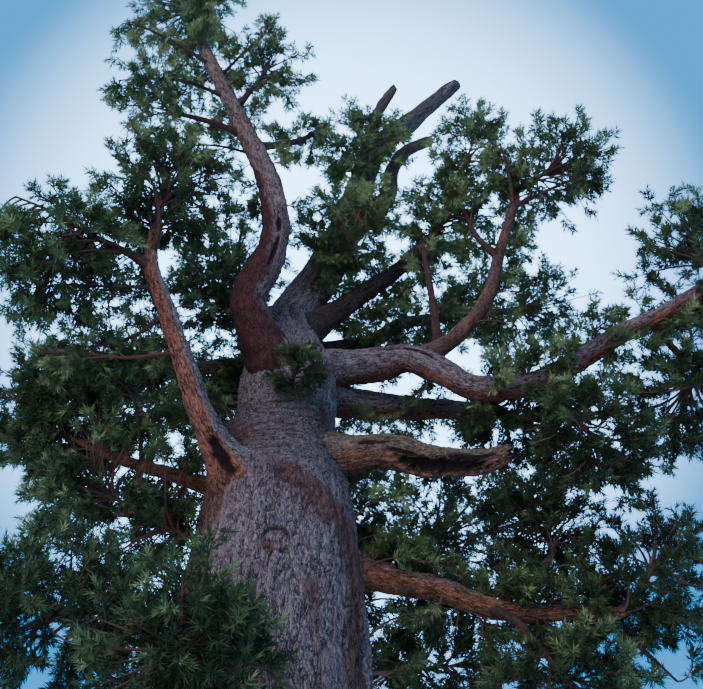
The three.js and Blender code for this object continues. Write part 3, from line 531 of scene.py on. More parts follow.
# Boughs. Old limbs that leave the trunk level or drooping and turn up at bends, under flaky red bark with
# grey plates; some carry moss, one is broken off and rotted hollow, and two are bare snags. Lesser side
# boughs run out from them into the masses of foliage and stand in for a part of those.
BOUGHS = [  # name, held by, how far along that, radius at root and tip, legs of length, heading and climb
    ("leader_left", "trunk", 16.6, (0.60, 0.17),
     [(1.45, 246, 39), (1.5, 232, 47), (0.85, 264, 62), (1.4, 317, 59), (1.35, 284, 73), (2.1, 225, 74),
      (2.1, 212, 64), (2.65, 207, 65), (3.3, 207, 66), (3.0, 204, 71)]),
    ("leader_left_fork", "leader_left", 0.52, (0.14, 0.08), [(1.9, 11, 36), (2.5, 26, 65)]),
    ("leader_left_inner", "leader_left", 0.64, (0.12, 0.09), [(0.5, 330, 35), (0.7, 330, 60)]),
    ("leader_left_outer", "leader_left", 0.55, (0.13, 0.09), [(1.3, 195, 20), (1.2, 190, 12)]),
    ("left_high", "trunk", 12.4, (0.41, 0.19),
     [(1.9, 230, 25), (1.35, 225, 42), (1.65, 223, 58), (2.0, 219, 61), (1.7, 212, 64), (1.5, 240, 80)]),
    ("left_high_fork", "left_high", 0.84, (0.14, 0.09), [(0.8, 204, 19), (1.0, 204, 12)]),
    ("left_low", "trunk", 13.3, (0.28, 0.11),
     [(1.95, 174, 15), (1.35, 175, 23), (1.2, 185, 15), (1.1, 190, 20), (1.1, 180, 26)]),
    ("left_back", "trunk", 18.9, (0.34, 0.19), [(1.7, 141, 19), (2.7, 151, 24), (2.3, 144, 27)]),
    ("front_low", "trunk", 9.4, (0.28, 0.12), [(3.3, 247, -24), (1.8, 283, -28)]),
    ("right_high", "trunk", 18.05, (0.50, 0.22),
     [(2.7, 356, 3), (1.15, 339, -8), (1.15, 340, -41), (1.4, 341, -49), (1.25, 346, -12),
      (1.35, 347, 16), (2.05, 347, 30), (1.55, 348, 22), (2.0, 347, 31)]),
    ("right_riser", "right_high", 0.29, (0.27, 0.15),
     [(1.6, 336, 26), (1.5, 330, 48), (2.0, 327, 69), (2.65, 335, 69)]),
    ("right_riser_fork", "right_riser", 0.09, (0.15, 0.09), [(1.75, 259, 69), (2.2, 250, 75)]),
    ("right_riser_side", "right_riser", 0.62, (0.12, 0.085), [(1.2, 190, 60), (1.5, 195, 80)]),
    ("right_mid", "trunk", 17.4, (0.48, 0.27),
     [(1.65, 29, 7), (2.1, 14, 5), (1.3, 355, -8), (1.25, 355, -6)]),
    ("right_hanging", "right_high", 0.545, (0.15, 0.10), [(0.9, 330, -45), (0.7, 350, -70)]),
    ("right_far", "right_high", 0.83, (0.12, 0.085), [(0.9, 40, -40), (0.7, 30, -60)]),
    ("right_broken", "trunk", 14.5, (0.52, 0.25),
     [(2.85, 341, -8), (1.4, 347, -23), (1.25, 351, -9), (0.9, 349, 14)]),
    ("right_low", "trunk", 12.0, (0.44, 0.16),
     [(1.95, 6, -21), (1.25, 355, -18), (1.1, 355, -17), (1.1, 0, -22), (1.15, 0, -7), (1.4, 0, 2)]),
    ("right_low_rise", "right_low", 0.76, (0.13, 0.09), [(0.9, 20, 45), (0.8, 10, 60)]),
    ("right_low_droop", "right_low", 0.68, (0.12, 0.085), [(0.8, 330, -40), (0.6, 340, -60)]),
    ("top_right", "trunk", 19.3, (0.46, 0.21),
     [(2.35, 353, 43), (1.35, 340, 31), (1.45, 341, 33), (1.1, 338, 45)]),
    ("top_right_back", "trunk", 19.2, (0.34, 0.21),
     [(1.3, 50, 33), (2.3, 11, 25), (1.85, 19, 49), (1.85, 14, 28)]),
    ("snag_hook", "trunk", 25.2, (0.39, 0.25),
     [(3.05, 348, 52), (1.75, 315, 76), (1.55, 342, 65), (1.35, 346, 26)]),
    ("snag_short", "trunk", 31.6, (0.34, 0.24), [(3.7, 320, 82), (2.5, 333, 65)])]
LESSER_BOUGHS = [  # name, mass of foliage it runs out into, and then as above
    ("left_low_riser", "crown_left_low", "left_low", 0.62, (0.065, 0.025),
     [(1, 265, 42), (1, 252, 45), (0.9, 215, 30)]),
    ("left_low_drop", "crown_left_low", "left_low", 0.72, (0.055, 0.02),
     [(0.8, 125, -34), (0.8, 108, -42)]),
    ("left_low_inner_drop", "crown_left_under", "left_low", 0.5, (0.06, 0.02),
     [(0.7, 140, -28), (0.8, 125, -38)]),
    ("left_high_side", "crown_left_edge", "left_high", 0.76, (0.065, 0.025),
     [(1.3, 180, 2), (1.3, 186, -4), (0.8, 180, -10)]),
    ("left_high_lower_side", "crown_left_edge", "left_high", 0.67, (0.07, 0.025),
     [(1.1, 148, -16), (1.2, 168, -10), (0.9, 190, 0)]),
    ("left_high_lowest_side", "crown_left_low", "left_high", 0.54, (0.065, 0.025),
     [(1.4, 174, -4), (1.5, 184, 3), (1, 172, 9)]),
    ("left_edge_reach", "crown_left_edge", "left_high_fork", 1, (0.075, 0.03),
     [(1.4, 205, 18), (1.1, 198, 14)]),
    ("left_high_inner", "crown_left_high", "left_high", 0.88, (0.09, 0.03),
     [(0.9, 290, 40), (1.2, 258, 46), (0.8, 225, 40)]),
    ("leader_high_left", "crown_left_top", "leader_left", 0.78, (0.08, 0.025),
     [(1.5, 206, 22), (1.5, 200, 18), (0.9, 190, 8)]),
    ("leader_high_right", "crown_left_inner", "leader_left", 0.74, (0.07, 0.025),
     [(1.5, 323, 28), (1.4, 330, 34)]),
    ("leader_mid_left", "crown_left_outer", "leader_left", 0.67, (0.08, 0.025),
     [(1.6, 200, 10), (1.5, 186, -2), (1, 180, -12)]),
    ("leader_low_left", "crown_left_outer", "leader_left", 0.5, (0.06, 0.025),
     [(1.5, 190, 8), (1.5, 180, -4)]),
    ("right_riser_rise", "crown_right_riser", "right_riser", 0.93, (0.09, 0.03),
     [(1.2, 262, 44), (1.2, 250, 48)]),
    ("right_riser_reach", "crown_right_riser", "right_riser", 0.96, (0.09, 0.03),
     [(1.5, 341, 16), (1.5, 345, 20)]),
    ("right_low_reach", "crown_right_low", "right_low", 0.8, (0.07, 0.025),
     [(1.2, 345, 15), (1.2, 350, 22)]),
    ("right_low_end", "crown_right_low", "right_low", 0.96, (0.09, 0.03), [(1.3, 25, -20), (1.4, 32, -28)]),
    ("right_far_reach", "crown_right_far", "right_far", 1, (0.06, 0.02), [(1, 20, -45), (1.2, 60, -30)])]
BACK_BOUGHS = dict(count=4, lowest=12.6, rise=3.1, heading=38, sweep=104, length=5.0, shorten=0.35, climb=16,
                   steepen=8, radius=(0.36, 0.15))
GOLDEN_ANGLE = math.pi * (3 - math.sqrt(5))
COLLAR_SWELL, COLLAR_REACH = 0.38, 1.6  # how much a bough's root swells, and over how many radii
JAGGED = {"right_broken": 0.42, "snag_hook": 0.12, "snag_short": 0.12}  # how far the broken end is torn


def unit(vectors):
    return vectors / np.maximum(1e-9, np.linalg.norm(vectors, axis=-1, keepdims=True))


def direction(heading, climb):
    level = math.cos(math.radians(climb))
    return np.array([level * math.cos(math.radians(heading)), level * math.sin(math.radians(heading)),
                     math.sin(math.radians(climb))])


back = BACK_BOUGHS
for i in range(back["count"]):
    reach = back["length"] - i * back["shorten"]
    heading = back["heading"] + (i * math.degrees(GOLDEN_ANGLE)) % back["sweep"]
    climb = back["climb"] + i * back["steepen"]
    legs = [(reach * 0.45, heading, climb * 0.4), (reach * 0.3, heading + 8, climb),
            (reach * 0.25, heading + 14, climb * 1.6)]
    BOUGHS.append((f"back_{i + 1}", "trunk", back["lowest"] + i * back["rise"], back["radius"], legs))

runs_out_into = {}
for name, mass, *rest in LESSER_BOUGHS:
    BOUGHS.append((name, *rest))
    runs_out_into[name] = mass

MASSES = [  # name, held by, where along the trunk (height, heading), middle, half-sizes
    ("crown_left_top", "leader_left", None, (-5.3, -5.6, 34.7), (3.3, 2.6, 3.9)),
    ("crown_left_outer", "leader_left_outer", None, (-5.3, -5.0, 27.5), (2.3, 2.0, 2.7)),
    ("crown_left_inner", "leader_left_inner", None, (-1.5, -4.7, 30.3), (2.2, 1.9, 3.1)),
    ("crown_left_high", "left_high", None, (-3.9, -4.3, 21.8), (2.9, 2.5, 2.6)),
    ("crown_left_edge", "left_high_fork", None, (-6.3, -4.4, 18.3), (2.6, 2.2, 2.9)),
    ("crown_left_low", "left_low", None, (-7.0, 0.3, 16.9), (3.1, 2.5, 3.1)),
    ("crown_left_under", "trunk", (11.3, 196), (-4.3, -0.7, 12.8), (2.9, 2.3, 2.7)),
    ("crown_left_back", "left_back", None, (-6.0, 3.5, 21.9), (4.0, 3.2, 4.0)),
    ("crown_front", "front_low", None, (-0.6, -5.8, 6.4), (1.9, 1.5, 1.9)),
    ("crown_front_left", "trunk", (8.6, 222), (-3.6, -3.9, 8.0), (2.3, 1.8, 1.9)),
    ("crown_right_outer", "right_high", None, (12.5, -3.0, 20.1), (2.8, 2.5, 3.1)),
    ("crown_right_riser", "right_riser", None, (9.0, -3.0, 25.4), (2.9, 2.5, 2.8)),
    ("crown_right_side", "right_riser_side", None, (6.3, -3.0, 27.2), (2.05, 1.9, 2.2)),
    ("crown_right_mid", "right_mid", None, (7.3, 1.2, 17.0), (3.3, 2.3, 2.5)),
    ("crown_right_hanging", "right_hanging", None, (7.9, -2.0, 13.5), (2.2, 1.9, 2.2)),
    ("crown_right_far", "right_far", None, (11.1, -1.0, 16.0), (2.5, 2.2, 2.7)),
    ("crown_right_low", "right_low", None, (9.2, 0.1, 11.3), (2.5, 2.2, 2.4)),
    ("crown_right_rise", "right_low_rise", None, (6.9, 1.3, 13.4), (2.4, 2.2, 1.9)),
    ("crown_right_droop", "right_low_droop", None, (6.3, -0.9, 8.0), (2.0, 1.7, 1.5)),
    ("crown_right_lowest", "trunk", (8.8, 32), (4.5, 2.8, 10.1), (2.4, 2.1, 1.9)),
    ("crown_top_right", "top_right", None, (5.2, -1.7, 24.5), (2.6, 2.2, 2.1)),
    ("crown_top_back", "top_right_back", None, (8.3, 2.6, 24.3), (3.7, 2.7, 2.5)),
    ("crown_spike", "trunk", (27.5, 262), (2.3, -1.4, 30.2), (2.9, 2.0, 3.6)),
    ("crown_heart", "trunk", (21.6, 292), (1.8, -2.0, 23.1), (2.4, 1.9, 2.6)),
    ("crown_heart_left", "trunk", (20.2, 178), (-3.3, 0.4, 23.0), (2.2, 2.0, 2.7)),
    ("trunk_tuft", "trunk", (15.8, 280), (0.3, -2.05, 16.1), (1.2, 0.9, 0.85))]
BACK_MASS_HALF, BACK_MASS_BEYOND, BACK_MASS_LIFT = (3.7, 3.3, 3.3), 2.6, 0.7
STEM_LEAD, STEM_OVERRUN, STEM_SHARE = 0.3, 0.3, 0.8
TRUNK_STEM_RADIUS, TRUNK_STEM_BEND = 0.1, (0.25, 10)

bough_paths, bough_radii, bough_roots = {}, {}, {}
for name, holder, at, radius, legs in BOUGHS:
    start = trunk_path.at(trunk_share(at)) if holder == "trunk" else bough_paths[holder].at(at)
    corners = [start]
    for length, heading, climb in legs:
        corners.append(corners[-1] + length * direction(heading, climb))
    bough_paths[name] = SmoothPath(corners)
    bough_radii[name] = radius
    bough_roots[name] = (trunk_radius(at) if holder == "trunk" else
                         bough_radii[holder][0] + at * (bough_radii[holder][1] - bough_radii[holder][0]))

for i in range(back["count"]):
    path = bough_paths[f"back_{i + 1}"]
    middle = path.at(1.0) + BACK_MASS_BEYOND * path.along(1.0) + (0, 0, BACK_MASS_LIFT)
    MASSES.append((f"crown_back_{i + 1}", f"back_{i + 1}", None, tuple(middle), BACK_MASS_HALF))

stem_paths, stem_radii = {}, {}
for name, holder, root, middle, half in MASSES:
    middle = np.array(middle)
    if holder == "trunk":
        start = trunk_path.at(trunk_share(root[0]))
        lead = start + direction(root[1], TRUNK_STEM_BEND[1]) * (trunk_radius(root[0]) + TRUNK_STEM_BEND[0])
        stem_radii[name] = TRUNK_STEM_RADIUS
    else:
        start = bough_paths[holder].at(1.0)
        lead = start + bough_paths[holder].along(1.0) * np.linalg.norm(start - middle) * STEM_LEAD
        stem_radii[name] = bough_radii[holder][1] * STEM_SHARE
    stem_paths[name] = SmoothPath([start, lead, middle, middle + (middle - lead) * STEM_OVERRUN])

BARK_TONES = {  # ridge and body of what has peeled and of what has weathered, painted shade in the crevices, moss and its share
    "red": (((0.48, 0.190, 0.110), (0.290, 0.085, 0.046)), ((0.42, 0.32, 0.28), (0.250, 0.175, 0.155)),
            (0.028, 0.009, 0.007), None, 0),
    # dark_red is the leader's red bark darkened with painted shade, near black at its foot
    "dark_red": (((0.200, 0.060, 0.050), (0.055, 0.014, 0.012)), ((0.38, 0.255, 0.22), (0.235, 0.140, 0.120)),
                 (0.030, 0.010, 0.008), None, 0),
    "grey": (((0.390, 0.145, 0.085), (0.210, 0.062, 0.040)), ((0.345, 0.255, 0.255), (0.200, 0.140, 0.142)),
             (0.030, 0.012, 0.010), None, 0),
    "rose": (((0.290, 0.135, 0.095), (0.160, 0.062, 0.044)), ((0.280, 0.195, 0.170), (0.160, 0.100, 0.088)),
             (0.034, 0.014, 0.010), None, 0),
    "orange": (((0.450, 0.190, 0.095), (0.245, 0.082, 0.040)), ((0.310, 0.195, 0.150), (0.170, 0.098, 0.072)),
               (0.032, 0.012, 0.008), None, 0),
    "broken": (((0.410, 0.195, 0.115), (0.215, 0.082, 0.046)), ((0.300, 0.215, 0.145), (0.170, 0.112, 0.075)),
               (0.024, 0.010, 0.007), (0.200, 0.150, 0.045), 0.30),
    "mossy": (((0.135, 0.080, 0.062), (0.066, 0.036, 0.028)), ((0.150, 0.115, 0.095), (0.078, 0.056, 0.046)),
              (0.016, 0.009, 0.007), (0.085, 0.088, 0.036), 0.30),
    "fork": (((0.200, 0.090, 0.062), (0.105, 0.040, 0.028)), ((0.180, 0.125, 0.105), (0.095, 0.060, 0.050)),
             (0.024, 0.010, 0.008), None, 0),
    "bare": (((0.170, 0.125, 0.100), (0.085, 0.058, 0.046)), ((0.200, 0.165, 0.140), (0.100, 0.078, 0.066)),
             (0.030, 0.020, 0.016), None, 0)}
ROSE_BOUGHS = ("right_riser", "left_low_riser", "left_edge_reach", "left_high_inner", "left_high_fork",
               "left_high_side", "left_high_lower_side", "right_riser_rise", "right_riser_reach")
BARK_OF = {"leader_left": "dark_red", "left_high": "red", "left_low": "orange", "right_low": "orange",
           "front_low": "fork", "right_high": "grey", "right_mid": "grey", "left_high_lowest_side": "grey",
           "right_broken": "broken", "snag_hook": "bare", "snag_short": "bare",
           **dict.fromkeys(ROSE_BOUGHS, "rose")}  # those not named are mossy on the trunk, else fork
# Which way the weathered side of a bough looks, and how much more weathered it is at its end than its root.
# The leader's steep rise keeps its foot in the dark red, which is in part painted shade
WEATHER_SIDE = {"left_high": ((0.85, 0.25, 0.45), -0.1), "leader_left": ((0.9, -0.2, 0.2), 2.8),
                "right_riser": ((0.0, 0.0, 1.0), -0.3), "left_low": ((0.0, 0.3, 1.0), 0.0),
                "right_high": ((0.0, -0.85, 0.5), -0.7), "right_mid": ((0.0, -0.85, 0.5), 0.0),
                "right_broken": ((0.0, -0.6, 0.8), -0.2)}
PLAIN_WEATHER = ((0.0, 0.15, 1.0), 0.0)
# Rotted hollows: how far along, half-length, half-width, the heading and climb they open to, and depth
HOLLOWS = {"right_broken": [(4.60, 1.00, 0.24, 262, -60, 0.60), (5.35, 0.65, 0.06, 262, -12, 0.20),
                            (3.7, 0.55, 0.045, 262, -30, 0.16), (2.7, 0.50, 0.04, 262, -5, 0.14)],
           "left_high": [(2.30, 0.50, 0.16, 262, -22, 0.45)],
           "right_high": [(3.35, 0.10, 0.09, 268, 10, 0.35), (2.9, 0.62, 0.035, 268, 22, 0.16),
                          (4.3, 0.75, 0.05, 262, 0, 0.18)],
           "leader_left": [(6.1, 0.26, 0.08, 290, 0, 0.30), (5.1, 0.65, 0.05, 300, -10, 0.20)]}
# Where a bough is swollen: how far along, over what length, by what share of its radius
BURLS = {"right_broken": [(4.2, 1.5, 0.28)], "right_high": [(2.7, 0.8, 0.14), (4.6, 0.6, 0.10)],
         "left_high": [(2.2, 0.7, 0.14), (1.75, 0.40, 0.45)], "right_mid": [(3.4, 1.5, 0.18)],
         "leader_left": [(4.4, 0.7, 0.10)]}
BOUGH_ROW, BOUGH_COLUMN, FEWEST_COLUMNS = 0.06, 0.05, 18  # spacing along and round a bough
ROOT_SINK = 0.45  # how far a bough's bark starts inside the trunk
BOUGH_PLATE, PLATE_TO_GIRTH = 0.15, 0.4  # widest plate of bark, and its share of a thin bough's radius
BOUGH_RELIEF, RELIEF_TO_GIRTH = 0.04, 0.10  # the same for the depth of its furrows
TORN_LENGTH = 0.5
KNOB_DEPTH = 0.07
BOUGH_WEATHER, WEATHER_TURN = 0.46, 0.55  # how grey a bough is, and how much more on its weathered side
bough_barks = {}
for kind, (peeled, weathered, crevice_shade, moss, moss_share) in BARK_TONES.items():
    bough_barks[kind] = bark_material(f"bark_{kind}", peeled, weathered, crevice_shade, moss=moss,
                                      moss_share=moss_share)
carried_mass = {holder: name for name, holder, *_ in MASSES if holder != "trunk"}

for order, (name, holder, at, (root_radius, tip_radius), legs) in enumerate(BOUGHS):
    path = bough_paths[name]
    stretches = [path.at(np.linspace(0, 1, 200))]
    if name in carried_mass:
        stretches.append(stem_paths[carried_mass[name]].at(np.linspace(0, 1, 60))[1:])
    points = np.vstack(stretches)
    whole = SmoothPath(points, smooth=False)
    start_run = max(0, bough_roots[name] - ROOT_SINK) if holder == "trunk" else 0.0
    rows = round((whole.length - start_run) / BOUGH_ROW) + 1
    runs = np.linspace(start_run, whole.length, rows)
    middles, alongs, sides, acrosses = bark_frames(whole, runs / whole.length)
    columns = max(FEWEST_COLUMNS, round(2 * math.pi * root_radius * 0.85 / BOUGH_COLUMN))
    turn = np.linspace(0, 2 * np.pi, columns, endpoint=False)[None, :]
    base = np.interp(runs, [0, path.length, whole.length], [root_radius, tip_radius, tip_radius * 0.3])
    out = np.maximum(0, runs - bough_roots[name])
    collar = 1 + COLLAR_SWELL * np.exp(-out / (COLLAR_REACH * root_radius))
    knobs = 1 + KNOB_DEPTH * waves(turn, runs[:, None], order + 11, 7, (0.5, 2.2))
    for at_run, length, gain in BURLS.get(name, []):
        base = base * (1 + gain * np.exp(-((runs - at_run) / length) ** 2))
    radii = (base * collar)[:, None] * knobs
    looks = sides[:, None] * np.cos(turn)[..., None] + acrosses[:, None] * np.sin(turn)[..., None]
    weather_side, along_more = WEATHER_SIDE.get(name, PLAIN_WEATHER)
    weather = BOUGH_WEATHER + WEATHER_TURN * looks @ unit(np.array(weather_side))
    weather = weather + along_more * (runs[:, None] / whole.length - 0.3)
    rot_and_shade_marks = np.zeros_like(radii)
    slants = None
    for k, (at_run, half_length, half_width, heading, climb, depth) in enumerate(HOLLOWS.get(name, [])):
        row = np.argmin(np.abs(runs - at_run))
        opens = direction(heading, climb)
        faced = math.degrees(math.atan2(acrosses[row].dot(opens), sides[row].dot(opens)))
        across = turn_gap(turn, faced) * radii / half_width
        ragged = 0.28 * waves(turn * 3, runs[:, None], 77 + k, 6, (0.15, 0.6))
        away = np.hypot(across, (runs[:, None] - at_run) / half_length)
        hole = 1 / (1 + np.exp((away + ragged - 1) * 8))
        rim = np.exp(-((away - 1.25) / 0.3) ** 2)
        # the hollow is painted dark: rotted wood, and painted shade inside it
        rot_and_shade_marks = np.maximum(rot_and_shade_marks, hole * 1.3)
        radii = radii * (1 - depth * hole + 0.06 * rim * (depth > 0.3))
    if name in JAGGED:
        teeth = np.abs(waves(turn * 4, np.ones((rows, 1)), order + 50, 6, (0.3, 0.9)))
        near_end = np.clip((runs[:, None] - whole.length + TORN_LENGTH) / TORN_LENGTH, 0, 1) ** 2
        slants = alongs[:, None] * ((teeth - 0.4) * near_end * JAGGED[name])[:, :, None]
        radii = radii * (1 - 0.25 * near_end)
        rot_and_shade_marks = np.maximum(rot_and_shade_marks, near_end ** 3 * 0.4)
    kind = BARK_OF.get(name, "mossy" if holder == "trunk" else "fork")
    width = min(BOUGH_PLATE, PLATE_TO_GIRTH * root_radius)
    plate = (width, width * (9 if kind == "bare" else 4.5), order * 7 + 30)
    piece = limb_mesh(f"{name}_bark", middles, sides, acrosses, radii, runs, plate, weather, rot_and_shade_marks, slants)
    applied(piece, BARK_RELIEF, RELIEF_INPUTS, depth=min(BOUGH_RELIEF, RELIEF_TO_GIRTH * root_radius),
            bark=bough_barks[kind])
    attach(piece, "root")
    if name in runs_out_into:
        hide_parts(runs_out_into[name])
    elif name == "right_high":
        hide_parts("right_high", "right_outer")
    else:
        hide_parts(name)

# Twigs. Each mass of foliage hangs on one stem that runs on from its bough or springs from the trunk:
# twigs leave it towards points spread evenly over the mass, and shoots leave them, thin and dark.
TWIGS_PER_AREA = 6.4  # twigs for each square metre of a mass's mean half-size
TWIG_REACH = (0.58, 0.88)  # share of the mass's half-size that twigs reach to
TWIG_POINTS = 9
TWIG_LEAN, TWIG_OUT, TWIG_SAG = 0.45, 0.25, 0.08  # shares of a twig's length
TWIG_ROOT, TWIG_THICKENS, TWIG_TIP = 0.028, 0.013, 0.013  # radius at the root, more by the metre, tip
TWIG_CLEARANCE = 0.05
LAST_TWIG = 0.97  # share of the stem at which the last twig leaves
STEM_POINTS, STEM_TAPER = 24, 0.3
SHOOTS_PER_TWIG, SHOOTS_PER_SPROUT = 9, 6
SHOOTS_FROM, SHOOTS_OVER = 0.30, 0.70  # share of a twig where shoots start, and over which they stand
SHOOT_LENGTH = (0.32, 0.66)
SHOOT_RADII = (0.012, 0.010, 0.005)
SHOOT_FORWARD, SHOOT_OUTWARD, SHOOT_STRAY, SHOOT_LIFT = 0.55, 0.35, 0.85, 0.12  # what turns its way
SPRAY_LENGTH = 0.36
SPRAYS_PER_SHOOT = 9
SPRAYS_FROM, SPRAYS_OVER = 0.22, 0.78  # share of a shoot where sprays start, and over which they stand
SPRAY_SIZES = (0.75, 1.15)
LIMB_CLEARANCE = 0.14
FULLNESS = {  # how many twigs, against the masses not named
    "crown_front": 2.1, "crown_front_left": 2.1, "crown_left_under": 1.45, "crown_left_low": 1.4,
    "crown_left_high": 1.3, "crown_left_edge": 0.9, "crown_left_top": 0.62, "crown_left_outer": 0.6,
    "crown_left_inner": 0.6, "crown_right_outer": 0.85, "crown_right_mid": 1.15,
    "crown_right_hanging": 1.25, "crown_right_low": 0.95, "crown_right_rise": 1.2, "crown_top_right": 1.4,
    "crown_heart": 1.2, "trunk_tuft": 2.0, "crown_back_1": 0.62, "crown_back_2": 0.55,
    "crown_back_3": 0.55, "crown_back_4": 0.6}
FINE_SPRAYS = {"crown_front": 0.8, "crown_front_left": 0.8, "trunk_tuft": 0.7}  # size of nearer sprays
OPEN_AIR, UNEVEN_AIR, SPROUT_FILL = 0.20, 0.08, 0.12  # air left between tufts, and how sprouts fill it
SAMPLES_PER_LIMB, SAMPLES_UP_TRUNK, SAMPLED_UP_TO = 60, 160, 39.8
POINTS_AT_A_TIME = 4000

mass_names = [m[0] for m in MASSES]
mass_middles = np.array([m[3] for m in MASSES], float)
mass_halves = np.array([m[4] for m in MASSES], float)
limb_samples, limb_sizes = [], []
for name, *_, in BOUGHS:
    limb_samples.append(bough_paths[name].at(np.linspace(0, 1, SAMPLES_PER_LIMB)))
    limb_sizes.append(np.linspace(*bough_radii[name], SAMPLES_PER_LIMB))
heights = np.linspace(0, SAMPLED_UP_TO, SAMPLES_UP_TRUNK)
limb_samples.append(trunk_path.at(trunk_share(heights)))
limb_sizes.append(trunk_radius(heights))
limb_samples, limb_sizes = np.vstack(limb_samples), np.concatenate(limb_sizes)


def clear_of_limbs(points, clearance):
    """Which points lie off every limb; a limb is read at short steps along its middle"""
    clear = np.ones(len(points), bool)
    for first in range(0, len(points), POINTS_AT_A_TIME):
        some = slice(first, first + POINTS_AT_A_TIME)
        away = np.linalg.norm(points[some, None] - limb_samples[None], axis=2) - limb_sizes[None]
        clear[some] = away.min(axis=1) > clearance
    return clear


def in_own_space(which, points):
    """A mass keeps to its own ellipsoid, and there to the side nearer to its own middle"""
    shares = np.linalg.norm((points[:, None] - mass_middles[None]) / mass_halves[None], axis=2)
    own = shares[:, which].copy()
    shares[:, which] = np.inf
    return (own <= 1) & (shares.min(axis=1) > own)


def cloud_noise(points, scale, seed):
    """Slow noise in space, about 0 to 1, that thins the foliage here and thickens it there"""
    random = np.random.RandomState(seed)
    total = np.zeros(len(points))
    for _ in range(9):
        wave = random.normal(size=3) / scale
        total += np.sin(points @ wave * 2.6 + random.uniform(0, 6.28))
    return 0.5 + total / 9 * 1.35


sprays = {name: [] for name in mass_names}
twig_lines = {name: [] for name in mass_names}


def add_twig(owner, points, sizes):
    """Keeps a twig's middle line and its radius at each point"""
    twig_lines[owner].append((points, sizes))


def bent_line(start, lead, end, count):
    """Points of a simple curve from start towards lead, ending at end"""
    t = np.linspace(0, 1, count)[:, None]
    return (1 - t) ** 2 * start + 2 * t * (1 - t) * lead + t ** 2 * end


def grow_shoots(line, outward, owner, free, count, random):
    """Shoots on the outer part of a twig, with sprays standing round each. Those of a free twig may reach
    beyond their mass"""
    last = TWIG_POINTS - 1
    for j in range(count):
        share = SHOOTS_FROM + SHOOTS_OVER * (j + random.uniform(0.2, 0.8)) / count
        k = share * last
        here, beyond = line[int(k)], line[min(last, int(k) + 1)]
        base = here + (beyond - here) * (k - int(k))
        forward = unit(beyond - line[max(0, int(k) - 1)])
        spin = unit(random.normal(size=3))
        way = unit(SHOOT_FORWARD * forward + SHOOT_OUTWARD * outward + SHOOT_STRAY * spin
                   + np.array([0, 0, SHOOT_LIFT]))
        long = random.uniform(*SHOOT_LENGTH) * (1.15 - 0.35 * share)
        tip = base + way * long
        air = OPEN_AIR - SPROUT_FILL * free + UNEVEN_AIR * random.normal()
        if cloud_noise(tip[None], 1.25, 9)[0] < air:
            continue
        bend = base + way * long * 0.5 + spin * long * 0.12
        add_twig(owner, bent_line(base, bend, tip, len(SHOOT_RADII)), np.array(SHOOT_RADII))
        tuft_tone = random.normal()
        one_side = unit(np.cross(way, spin))
        other_side = unit(np.cross(way, one_side))
        for s in range(SPRAYS_PER_SHOOT):
            share_up = SPRAYS_FROM + SPRAYS_OVER * (s + 0.5) / SPRAYS_PER_SHOOT
            around = one_side * math.cos(s * GOLDEN_ANGLE) + other_side * math.sin(s * GOLDEN_ANGLE)
            spray_way = unit(way * (0.35 + 0.75 * share_up) + around * 0.85 + random.normal(size=3) * 0.15)
            size = random.uniform(*SPRAY_SIZES) * FINE_SPRAYS.get(owner, 1)
            roll = random.uniform(0, 6.28)
            # a random tone of its own, plus painted light towards the shoot's tip
            tone_and_tip_light = random.normal() + 1.4 * (share_up - 0.6)
            sprays[owner].append((*(base + (tip - base) * share_up), *spray_way, size, roll, tuft_tone,
                                  tone_and_tip_light, free))


for which, (name, holder, root, middle, half) in enumerate(MASSES):
    random = np.random.RandomState(101 + 37 * which)
    middle, half = np.array(middle), np.array(half)
    stem = stem_paths[name]
    shares = np.linspace(0, 1, 40)
    inside = np.linalg.norm((stem.at(shares) - middle) / half, axis=1) < 0.9
    leafy = shares[inside][0] if inside.any() else 0.5
    if holder == "trunk":
        line = stem.at(np.linspace(0, 1, STEM_POINTS))
        add_twig(name, line, np.linspace(stem_radii[name], stem_radii[name] * STEM_TAPER, STEM_POINTS))
    count = round(TWIGS_PER_AREA * (half.prod() ** (2 / 3)) * FULLNESS.get(name, 1))
    for i in range(count):
        lift = 1 - 2 * (i + 0.5) / count
        ring = math.sqrt(1 - lift * lift)
        turned = i * GOLDEN_ANGLE + random.uniform(0, 0.5)
        outward = np.array([ring * math.cos(turned), ring * math.sin(turned), lift])
        end = middle + outward * half * random.uniform(*TWIG_REACH)
        nearest = shares[np.argmin(np.linalg.norm(stem.at(shares) - end, axis=1))]
        away = np.linalg.norm(stem.at(nearest) - end)
        leave = np.clip(nearest - TWIG_LEAN * away / stem.length, leafy, LAST_TWIG)
        start = stem.at(leave)
        lead = start + stem.along(leave) * away * TWIG_LEAN + outward * away * TWIG_OUT
        lead = lead - np.array([0, 0, TWIG_SAG * away])
        line = bent_line(start, lead, end, TWIG_POINTS)
        if not (clear_of_limbs(line[3:], TWIG_CLEARANCE).all() and in_own_space(which, line[4:]).all()):
            continue
        add_twig(name, line, np.linspace(TWIG_ROOT + TWIG_THICKENS * away, TWIG_TIP, TWIG_POINTS))
        grow_shoots(line, outward, name, False, SHOOTS_PER_TWIG, random)

